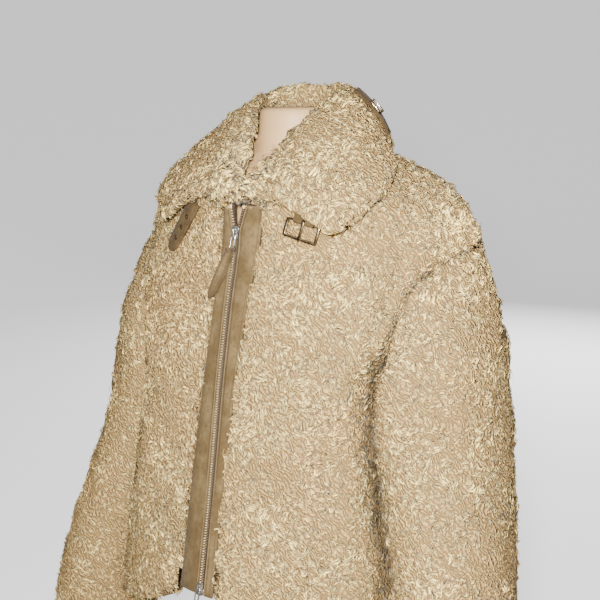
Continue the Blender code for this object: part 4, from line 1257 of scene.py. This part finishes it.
def bevelled(
    source: bpy.types.Object,
    name: str,
    finish: bpy.types.Material,
    width: float,
    segments: int = 2,
    reshape: Callable[[Vector], Vector] | None = None,
    swell: float = 0.0,
) -> bpy.types.Object:
    """A solid with its edges rounded off.

    Args:
        source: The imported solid.
        name: The piece's name.
        finish: Its material.
        width: How wide the rounding is.
        segments: How many faces round each edge.
        reshape: Moves each of the solid's points first.
        swell: How far its faces then move outwards.

    Returns:
        The piece.
    """
    bm = node_bmesh(source)
    if reshape:
        for vert in bm.verts:
            vert.co = reshape(vert.co)
    bmesh.ops.dissolve_limit(bm, angle_limit=FLAT, verts=bm.verts, edges=bm.edges)
    bm.normal_update()
    for vert, factor in [(v, v.calc_shell_factor()) for v in bm.verts]:
        vert.co += vert.normal * swell * factor
    edges = [e for e in bm.edges if len(e.link_faces) == 2 and e.calc_face_angle() > ROUNDED]
    round_off(bm, edges, width, segments, clamped=True)
    bmesh.ops.recalc_face_normals(bm, faces=bm.faces)
    return object_from(bm, name, finish)


def repeated(
    shape: bmesh.types.BMesh, frames: Sequence[Matrix], name: str, finish: bpy.types.Material
) -> bpy.types.Object:
    """A small shape copied to each frame, as one object.

    Args:
        shape: The shape, which is freed.
        frames: Where each copy goes.
        name: The object's name.
        finish: Its material.

    Returns:
        The object.
    """
    source = bpy.data.meshes.new(f"{name}_one")
    shape.to_mesh(source)
    shape.free()
    bm = bmesh.new()
    for frame in frames:
        before = len(bm.verts)
        bm.from_mesh(source)
        bm.verts.ensure_lookup_table()
        bmesh.ops.transform(bm, matrix=frame, verts=bm.verts[before:])
    bpy.data.meshes.remove(source)
    bmesh.ops.recalc_face_normals(bm, faces=bm.faces)
    return object_from(bm, name, finish)


def small_block(width: float, length: float, height: float, bevel: float) -> bmesh.types.BMesh:
    """A block with rounded edges, its middle at the origin.

    Args:
        width: Its size along x.
        length: Its size along y.
        height: Its size along z.
        bevel: How much its edges are rounded.

    Returns:
        The block.
    """
    bm = bmesh.new()
    bmesh.ops.create_cube(bm, size=1.0)
    bmesh.ops.scale(bm, vec=(width, length, height), verts=bm.verts)
    if bevel:
        round_off(bm, bm.edges[:], bevel, 1)
    return bm


class Surface:
    """Solids that other pieces lie on, found by a straight look from the front."""

    def __init__(self, nodes: Iterable[bpy.types.Object]) -> None:
        """Gathers the solids.

        Args:
            nodes: Their objects.
        """
        self.tree = tree_of(nodes)

    def front_at(self, x: float, z: float) -> tuple[Vector, Vector] | None:
        """The place straight behind the front at this x and height, and the way out of it."""
        place, normal, _, _ = self.tree.ray_cast(Vector((x, -1.0, z)), Vector((0, 1, 0)))
        if place is None:
            return None
        return place, normal if normal.y < 0 else -normal


@dataclass
class Stitches:
    """A row of machine stitches along a line on a surface."""

    pitch: float = 0.0032
    length: float = 0.0024
    thickness: float = 0.0007

    def build(
        self, line: Sequence[tuple[Vector, Vector]], name: str, finish: bpy.types.Material
    ) -> bpy.types.Object:
        """Sews along the line.

        Args:
            line: Places and the way out at each.
            name: The object's name.
            finish: The thread.

        Returns:
            The stitches.
        """
        frames, left = [], 0.0
        for (a, out_a), (b, out_b) in zip(line, line[1:]):
            step = b - a
            while left < step.length:
                share = left / step.length
                place, out = a.lerp(b, share), out_a.lerp(out_b, share).normalized()
                frames.append(frame_from(place + out * self.thickness * 0.15, step, out))
                left += self.pitch
            left -= step.length
        block = small_block(self.thickness, self.length, self.thickness, self.thickness * 0.25)
        return repeated(block, frames, name, finish)


def longest_loop(edges: Iterable[bmesh.types.BMEdge]) -> list[bmesh.types.BMVert]:
    """The points, in order, of the longest closed loop among some edges."""
    left, loops = dict.fromkeys(edges), []
    while left:
        edge = next(iter(left))
        del left[edge]
        loop = [edge.verts[0], edge.verts[1]]
        while loop[-1] is not loop[0]:
            following = next((e for e in loop[-1].link_edges if e in left), None)
            if following is None:
                break
            del left[following]
            loop.append(following.other_vert(loop[-1]))
        loops.append(loop)
    return max(loops, key=lambda loop: sum((b.co - a.co).length for a, b in zip(loop, loop[1:])))


def border_line(source: bpy.types.Object, outwards: Vector, inset: float) -> list[tuple[Vector, Vector]]:
    """A line round a flat piece's shown side, a little in from its edge.

    Args:
        source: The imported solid.
        outwards: The way its shown side faces.
        inset: How far in from the edge.

    Returns:
        Places and the way out at each.
    """
    bm = node_bmesh(source)
    bm.normal_update()
    shown = [face for face in bm.faces if face.normal.dot(outwards) > 0.6]
    drawn_in = {"thickness": inset, "use_boundary": True, "use_even_offset": True}
    ring = set(bmesh.ops.inset_region(bm, faces=shown, **drawn_in)["faces"])
    within = set(shown)
    edges = []
    for edge in bm.edges:
        sides = edge.link_faces
        if len(sides) == 2 and sum(f in ring for f in sides) == 1 and any(f in within for f in sides):
            edges.append(edge)
    line = [(vert.co.copy(), outwards.copy()) for vert in longest_loop(edges)]
    bm.free()
    return line


@dataclass
class FrontOpening:
    """The suede facings and the zip between them."""

    low: float = 0.252
    high: float = 0.724
    closed_top: float = 0.694
    slot: float = 0.0045
    v_half: float = 0.009
    neck: float = 0.728
    tuck: float = 0.010
    edge_heights: tuple[float, ...] = (0.250, 0.370, 0.510, 0.620, 0.700, 0.728)
    right_edge: tuple[float, ...] = (0.038, 0.036, 0.029, 0.025, 0.024, 0.027)
    left_edge: tuple[float, ...] = (0.019, 0.019, 0.024, 0.030, 0.037, 0.039)
    opens_at: float = 0.696
    fold_seam: float = 0.0014
    inner_seam: float = 0.0038
    outer_seam: float = 0.0042
    first_tooth: float = 0.012
    under_slider: tuple[float, float] = (0.688, 0.700)
    meshed_reach: float = 0.0012
    open_reach: float = 0.0019
    tooth_root: float = 0.0011
    tooth_pitch: float = 0.0032
    tooth_width: float = 0.0027
    tooth_length: float = 0.0012
    tooth_height: float = 0.0024
    tooth_proud: float = 0.0006

    def gap(self, z: float) -> float:
        """Half the open zip's width at a height."""
        return self.v_half * max(0.0, (z - self.opens_at) / (self.neck - self.opens_at))

    def line(self, surface: Surface, offset: Callable[[float], float]) -> list[tuple[Vector, Vector]]:
        """A line up the front on a surface.

        Args:
            surface: What it lies on.
            offset: The distance from the zip at a height.

        Returns:
            Places and the way out at each.
        """
        heights = np.linspace(self.low, self.high, int((self.high - self.low) / 0.006) + 2)
        found = [surface.front_at(offset(float(z)), float(z)) for z in heights]
        return [place for place in found if place]

    def build(
        self,
        nodes: dict[str, bpy.types.Object],
        suede: bpy.types.Material,
        fold: bpy.types.Material,
        tape: bpy.types.Material,
        teeth: bpy.types.Material,
        dull: bpy.types.Material,
        thread: bpy.types.Material,
    ) -> None:
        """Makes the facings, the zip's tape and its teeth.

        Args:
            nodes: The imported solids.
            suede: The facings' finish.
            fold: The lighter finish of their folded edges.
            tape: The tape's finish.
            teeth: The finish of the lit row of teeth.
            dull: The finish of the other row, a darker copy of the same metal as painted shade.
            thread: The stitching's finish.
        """
        for side, sign, edge, flat, area in (
            ("left", 1, self.left_edge, (0.036, 0.50), 0.0110),
            ("right", -1, self.right_edge, (0.036, 0.50), 0.0137),
        ):
            source = nodes[f"placket_{side}"]
            cloth = bevelled(source, f"facing_{side}", suede, 0.0007, 1, self.tucked_under)
            surface = Surface([source])
            rows = (
                ("fold", self.beside_zip(sign, self.fold_seam), Stitches(0.0040, 0.0044, 0.0012), fold),
                ("inner_seam", self.beside_zip(sign, self.inner_seam), Stitches(thickness=0.0011), thread),
                ("outer_seam", self.inside_edge(sign, edge), Stitches(), thread),
            )
            for label, offset, stitches, finish in rows:
                seam = stitches.build(self.line(surface, offset), f"facing_{side}_{label}", finish)
                placed(seam, Body.COAT, Slot.SUEDE)
            placed(cloth, Body.COAT, Slot.SUEDE, f"placket_{side}")
        for name in ("zip_chain", "zip_side_left", "zip_side_right"):
            reshape = None if name == "zip_chain" else self.tucked_under
            cloth = bevelled(nodes[name], f"{name}_tape", tape, 0.0002, 1, reshape)
            placed(cloth, Body.COAT, Slot.ZIP_TAPE, name)
        self.build_teeth(nodes, teeth, dull)

    def beside_zip(self, sign: int, off: float) -> Callable[[float], float]:
        """What gives the place of a seam that follows the zip's opening, at a height."""
        return lambda z: sign * (self.slot + self.gap(z) + off)

    def inside_edge(self, sign: int, edge: Sequence[float]) -> Callable[[float], float]:
        """What gives the place of the seam that follows a facing's outer edge, at a height."""
        return lambda z: sign * (float(np.interp(z, self.edge_heights, edge)) - self.outer_seam)

    def tucked_under(self, place: Vector) -> Vector:
        """A place on the facing or the tape, with the top ends drawn up under the collar."""
        if place.z < self.neck - 0.006:
            return place
        return place + Vector((0.0, self.tuck * 0.35, self.tuck))

    def build_teeth(
        self, nodes: dict[str, bpy.types.Object], finish: bpy.types.Material, dull: bpy.types.Material
    ) -> None:
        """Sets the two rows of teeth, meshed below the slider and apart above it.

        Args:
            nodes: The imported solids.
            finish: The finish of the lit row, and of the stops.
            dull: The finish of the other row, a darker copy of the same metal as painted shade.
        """
        surface = Surface([nodes[n] for n in ("zip_chain", "zip_side_left", "zip_side_right")])
        frames: dict[int, list[Matrix]] = {-1: [], 1: []}
        hidden_from, hidden_to = self.under_slider
        z, side = self.low + self.first_tooth, 1
        while z < self.high:
            apart = self.gap(z)
            reach = apart + (self.meshed_reach if z < self.closed_top else self.open_reach)
            found = surface.front_at(side * (apart + self.tooth_root), z)
            if found and not hidden_from < z < hidden_to:
                place, out = found
                place = Vector((side * reach, place.y, place.z))
                place = place + out * (self.tooth_proud if side < 0 else 0.0)
                frames[side].append(frame_from(place, UP, out))
            side = -side
            z += self.tooth_pitch / 2
        # One row is lit, the other row is painted shade.
        for side, label, metal in ((-1, "right", finish), (1, "left", dull)):
            block = small_block(self.tooth_width, self.tooth_length, self.tooth_height, 0.0005)
            placed(repeated(block, frames[side], f"zip_teeth_{label}", metal), Body.COAT, Slot.METAL)
        stops = []
        for side in (-1, 1):
            found = surface.front_at(side * (self.gap(self.high) + 0.0015), self.high)
            if found:
                place = found[0] + found[1] * 0.0006 + Vector((side * 0.0008, 0.0, 0.0015))
                stops.append(frame_from(place, UP, found[1]))
        block = small_block(0.0036, 0.0046, 0.0030, 0.0009)
        placed(repeated(block, stops, "zip_top_stops", finish), Body.COAT, Slot.METAL)


@dataclass(frozen=True)
class SuedePart:
    """A strap or tab: what it moves with and how it is sewn."""

    node: str
    body: Body
    finish: str
    rounding: float
    outwards: tuple[float, float, float]
    seam_inset: float = 0.0
    edge_inset: float = 0.0


@dataclass
class Hardware:
    """The sliders, pulls, buckles and straps."""

    metals: tuple[tuple[str, Body, str, float, float], ...] = (
        ("zip_slider", Body.COAT, "nickel", 0.0007, 0.0),
        ("zip_slider_bottom", Body.COAT, "nickel", 0.0007, 0.0),
        ("zip_puller", Body.ZIP_PULL, "nickel", 0.0004, 0.0),
        ("zip_puller_bottom", Body.BOTTOM_PULL, "nickel", 0.0004, 0.0),
        ("buckle_frame", Body.BUCKLE, "antique", 0.0009, 0.0002),
        ("buckle_prong", Body.PRONG, "antique", 0.0004, 0.0),
        ("back_buckle_frame", Body.COAT, "antique", 0.0006, 0.0),
        ("back_buckle_prong", Body.COAT, "antique", 0.0004, 0.0),
    )
    suedes: tuple[SuedePart, ...] = (
        SuedePart("zip_pull_tab", Body.ZIP_PULL, "tab", 0.0006, (0.0, -0.972, 0.234), 0.0026, 0.0007),
        SuedePart("collar_strap", Body.COAT, "strap", 0.0006, (-0.334, -0.921, 0.201), 0.0028),
        SuedePart("back_strap", Body.COAT, "strap", 0.0006, (0.709, 0.181, 0.682), 0.0028),
        SuedePart("buckle_keeper", Body.COAT, "strap", 0.0003, (0.321, -0.928, 0.188)),
    )
    eyelet_radius: float = 0.0026
    eyelet_rim: float = 0.0035
    eyelet_wire: float = 0.0008
    eyelets: tuple[tuple[float, float], ...] = ((-0.1150, 0.6777), (-0.1032, 0.6921), (-0.0913, 0.7065))

    def build(
        self,
        nodes: dict[str, bpy.types.Object],
        suedes: dict[str, bpy.types.Material],
        metals: dict[str, bpy.types.Material],
        thread: bpy.types.Material,
    ) -> None:
        """Finishes each solid of the trim.

        Args:
            nodes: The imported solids.
            suedes: The finishes of the straps and the tab.
            metals: The finishes of the metal.
            thread: The stitching's finish.
        """
        for name, body, finish, width, swell in self.metals:
            made = bevelled(nodes[name], f"{name}_metal", metals[finish], width, swell=swell)
            placed(made, body, Slot.METAL, name)
        for part in self.suedes:
            source = nodes[part.node]
            made = bevelled(source, f"{part.node}_suede", suedes[part.finish], part.rounding, 1)
            placed(made, part.body, Slot.SUEDE, part.node)
            outwards = Vector(part.outwards).normalized()
            for label, inset, stitches in (
                ("seam", part.seam_inset, Stitches(thickness=0.0010)),
                ("edge", part.edge_inset, Stitches(0.0024, 0.0027, 0.0010)),
            ):
                if inset:
                    line = border_line(source, outwards, inset)
                    sewn = stitches.build(line, f"{part.node}_{label}", thread)
                    placed(sewn, part.body, Slot.SUEDE)
        self.build_eyelets(nodes["collar_strap"], metals["antique"])

    def build_eyelets(self, strap: bpy.types.Object, metal: bpy.types.Material) -> None:
        """Sets a metal ring round each of the strap's holes.

        Args:
            strap: The strap's solid.
            metal: The rings' finish.
        """
        surface, frames = Surface([strap]), []
        for x, z in self.eyelets:
            rim = self.eyelet_rim
            round_it = ((rim, 0.0), (-rim, 0.0), (0.0, rim), (0.0, -rim))
            sides = [surface.front_at(x + dx, z + dz) for dx, dz in round_it]
            found = [side for side in sides if side]
            if found:
                place = sum((p for p, _ in found), Vector()) / len(found)
                out = sum((n for _, n in found), Vector()).normalized()
                frames.append(frame_from(place, UP, out))
        ring = bmesh.new()
        wire = bmesh.ops.create_circle(ring, segments=6, radius=self.eyelet_wire)["verts"]
        bmesh.ops.rotate(ring, verts=wire, matrix=Matrix.Rotation(math.pi / 2, 3, "X"))
        bmesh.ops.translate(ring, verts=wire, vec=(self.eyelet_radius, 0, 0))
        spun(ring, ring.edges[:], 16)
        placed(repeated(ring, frames, "strap_eyelets", metal), Body.COAT, Slot.METAL)


@dataclass
class DressForm:
    """The limbless form and its stand."""

    def build(
        self, nodes: dict[str, bpy.types.Object], shell: bpy.types.Material, paint: bpy.types.Material
    ) -> None:
        """Rounds and finishes the form, its pole and its base.

        Args:
            nodes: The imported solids.
            shell: The form's finish.
            paint: The stand's finish.
        """
        bm = node_bmesh(nodes["form_body"])
        quads_joined(bm)
        body = object_from(bm, "form_shell", shell, 50)
        placed(body, Body.COAT, Slot.FORM_SHELL, "form_body")
        for node, name, width in (
            ("form_base", "form_base_plate", 0.0012),
            ("form_pole", "form_pole_tube", 0.0008),
        ):
            placed(bevelled(nodes[node], name, paint, width), Body.COAT, Slot.FORM_METAL, node)


# ---- Studio ----


@dataclass
class Studio:
    """The pale sweep, the soft light and the camera."""

    azimuth: float = 36.9
    elevation: float = 12.0
    roll: float = -0.84
    distance: float = 1.331
    target: tuple[float, float, float] = (0.0065, 0.0007, 0.589)
    lens: float = 59.82
    sweep_radius: float = 4.0
    sweep_bend: float = 1.0
    sweep_height: float = 5.0

    def build(self) -> None:
        """Sets up the whole studio."""
        self.sweep()
        self.light("key", (0.77, -1.12, 0.96), (0.0, 0.0, 0.44), 0.13, 73.0)
        self.light("low", (0.10, -1.40, 0.45), (0.0, 0.0, 0.42), 0.5, 4.5, False)
        self.light("back", (-0.5, 2.3, 1.3), (0.0, 0.0, 0.5), 1.2, 140.0, False)
        self.air()
        self.camera()

    def air(self) -> None:
        """Light from all round: bright overhead and dim from below."""
        world = bpy.data.worlds.new("studio")
        world.use_nodes = True
        nodes, links = world.node_tree.nodes, world.node_tree.links
        place = nodes.new("ShaderNodeTexCoord").outputs["Generated"]
        height = nodes.new("ShaderNodeSeparateXYZ")
        links.new(place, height.inputs[0])
        share = nodes.new("ShaderNodeMapRange")
        share.inputs["From Min"].default_value, share.inputs["From Max"].default_value = -0.6, 0.8
        links.new(height.outputs["Z"], share.inputs["Value"])
        tint = nodes.new("ShaderNodeMix")
        tint.data_type = "RGBA"
        tint.inputs[6].default_value = (0.22, 0.20, 0.18, 1.0)
        tint.inputs[7].default_value = (1.0, 1.0, 1.0, 1.0)
        links.new(share.outputs[0], tint.inputs["Factor"])
        links.new(tint.outputs[2], nodes["Background"].inputs["Color"])
        nodes["Background"].inputs["Strength"].default_value = 0.21
        bpy.context.scene.world = world

    def sweep(self) -> None:
        """A round floor that curves up into a wall far behind everything."""
        bm = bmesh.new()
        flat, bend = self.sweep_radius - self.sweep_bend, self.sweep_bend
        profile = [(0.0, 0.0), (flat, 0.0)]
        for angle in np.linspace(0.15, math.pi / 2, 10):
            profile.append((flat + bend * math.sin(angle), bend - bend * math.cos(angle)))
        profile.append((self.sweep_radius, self.sweep_height))
        verts = [bm.verts.new((x, 0, z)) for x, z in profile]
        edges = [bm.edges.new(pair) for pair in zip(verts, verts[1:])]
        spun(bm, verts + edges, 64)
        bmesh.ops.remove_doubles(bm, verts=bm.verts, dist=1e-5)
        bmesh.ops.recalc_face_normals(bm, faces=bm.faces)
        made = object_from(bm, "studio_sweep", PaperFinish().made())
        made.visible_diffuse = made.visible_glossy = made.visible_shadow = False

    def light(
        self,
        name: str,
        place: Sequence[float],
        aim: Sequence[float],
        size: float,
        power: float,
        in_metal: bool = True,
    ) -> None:
        """A square soft light.

        Args:
            name: Its name.
            place: Where it is.
            aim: What it points at.
            size: The length of its side.
            power: Its power in watts.
            in_metal: Whether it shows in the metal's reflections.
        """
        data = bpy.data.lights.new(name, "AREA")
        data.size, data.energy = size, power
        made = added(name, data)
        made.location = place
        made.visible_glossy = in_metal
        made.rotation_euler = (Vector(aim) - Vector(place)).to_track_quat("-Z", "Y").to_euler()

    def camera(self) -> None:
        """The camera, a little above the coat's chest and to the wearer's left."""
        a, e, r = (math.radians(v) for v in (self.azimuth, self.elevation, self.roll))
        back = Vector((math.sin(a) * math.cos(e), -math.cos(a) * math.cos(e), math.sin(e)))
        right = Vector((math.cos(a), math.sin(a), 0.0))
        up = back.cross(right)
        turned_right = right * math.cos(r) + up * math.sin(r)
        turned_up = -right * math.sin(r) + up * math.cos(r)
        data = bpy.data.cameras.new("camera")
        data.lens, data.sensor_width = self.lens, 36.0
        data.clip_start, data.clip_end = 0.01, 50.0
        made = added("camera", data)
        axes = Matrix((turned_right, turned_up, back)).transposed().to_4x4()
        made.matrix_world = Matrix.Translation(Vector(self.target) + back * self.distance) @ axes
        bpy.context.scene.camera = made


# ---- The whole coat ----

# Painted shade along the pocket's mouth, an elbow crease and the valley beside the sleeve; the pocket and the
# crease also part the pile.
POCKET = Parting(
    line=(
        (0.1699, -0.1302, 0.4342),
        (0.1714, -0.1357, 0.4116),
        (0.1725, -0.1407, 0.3824),
        (0.1732, -0.1462, 0.3470),
    ),
    bare=0.0018,
    width=0.007,
    shade=1.3,
)
CREASE = Parting(
    line=(
        (0.2991, -0.0797, 0.3984),
        (0.3097, -0.0705, 0.3892),
        (0.3166, -0.0636, 0.3799),
        (0.3236, -0.0496, 0.3765),
        (0.3254, -0.0244, 0.3814),
    ),
    bare=0.0010,
    width=0.013,
    shade=1.3,
)
VALLEY = Parting(
    line=((0.1695, -0.1186, 0.5104), (0.1764, -0.1082, 0.4659), (0.1830, -0.1010, 0.4340)),
    bare=0.0,
    width=0.024,
    shade=0.6,
)
LEFT_PARTINGS = (POCKET, VALLEY)
COLLAR_EDGE = {"edge_pull": 1.4, "edge_reach": 0.046, "edge_growth": 1.2}
FUR_PIECES = (
    FurPiece("back", Wrap.TORSO, (0.60, 0.68), 0.3680, 1.20, 21),
    FurPiece("front_left", Wrap.TORSO, (0.33, 0.64), 0.1787, 2.25, 22, edge_pull=1.2, partings=LEFT_PARTINGS),
    FurPiece("front_right", Wrap.TORSO, (0.33, 0.64), 0.1759, 1.95, 23),
    FurPiece("sleeve_left", Wrap.SLEEVE, (0.54, 0.58), 0.2678, 2.00, 24, parts=2, partings=(CREASE,)),
    FurPiece("sleeve_right", Wrap.SLEEVE, (0.54, 0.58), 0.2678, 1.20, 25, mirrored=True),
    FurPiece("collar", Wrap.COLLAR, (0.20, 0.70), 0.1180, 2.15, 26, **COLLAR_EDGE),
)

# How near to each of these no pile grows, and how near it is cut short.
CLEAR = {
    "collar_strap": (0.0035, 0.0075),
    "buckle_frame": (0.0045, 0.0110),
    "buckle_prong": (0.0040, 0.0080),
    "buckle_keeper": (0.0030, 0.0070),
    "back_strap": (0.0016, 0.0050),
    "back_buckle_frame": (0.0030, 0.0070),
    "zip_pull_tab": (0.0020, 0.0050),
    "placket_right": (0.0004, 0.0034),
}


def clear_scene() -> None:
    """Takes away what a new file starts with."""
    for existing in list(bpy.data.objects):
        bpy.data.objects.remove(existing, do_unlink=True)


def main() -> None:
    """Builds every piece in order."""
    logging.basicConfig(level=logging.INFO, format="%(name)s: %(message)s")
    clear_scene()
    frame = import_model()
    nodes = frame["nodes"]
    suede = SuedeFinish(
        "facing_suede", (0.103, 0.066, 0.025), (0.160, 0.108, 0.046), (0.058, 0.035, 0.012)
    ).made()
    fold = SuedeFinish(
        "folded_suede", (0.160, 0.106, 0.043), (0.200, 0.136, 0.058), (0.105, 0.066, 0.025)
    ).made()
    # The straps' suede is darker than the facings' as painted shade from the collar above them.
    strap = SuedeFinish(
        "shaded_strap_suede", (0.074, 0.046, 0.017), (0.108, 0.070, 0.028), (0.038, 0.022, 0.008)
    ).made()
    nickel = MetalFinish(
        "worn_nickel", (0.76, 0.74, 0.69), (0.36, 0.33, 0.28), (0.14, 0.30), 0.5, 0.92
    ).made()
    antique = MetalFinish("antique_brass", (0.56, 0.44, 0.26), (0.13, 0.09, 0.05), (0.14, 0.30)).made()
    # The teeth's metal in two copies: a lighter one for the lit row and a darker one as painted shade on the
    # other row.
    brass = MetalFinish(
        "zip_teeth_lit", (0.82, 0.66, 0.38), (0.62, 0.47, 0.25), (0.40, 0.52), 0.0, 0.4
    ).made()
    wear_and_shade = MetalFinish(
        "zip_teeth_shaded", (0.34, 0.24, 0.12), (0.20, 0.13, 0.06), (0.38, 0.50), 0.0, 0.6
    ).made()
    thread = ThreadFinish("brown_thread", (0.040, 0.022, 0.009)).made()
    pile, air = Pile(), OpenAir(nodes.values())
    backing, trim = BackingFinish().made(), Trim(nodes, CLEAR)
    for piece in FUR_PIECES:
        piece.build(nodes[piece.node], air, trim, pile, backing)
    FrontOpening().build(nodes, suede, fold, TapeFinish().made(), brass, wear_and_shade, thread)
    Hardware().build(nodes, {"strap": strap, "tab": suede}, {"nickel": nickel, "antique": antique}, thread)
    DressForm().build(nodes, ShellFinish().made(), PaintedSteelFinish().made())
    Studio().build()


if __name__ == "__main__":
    main()
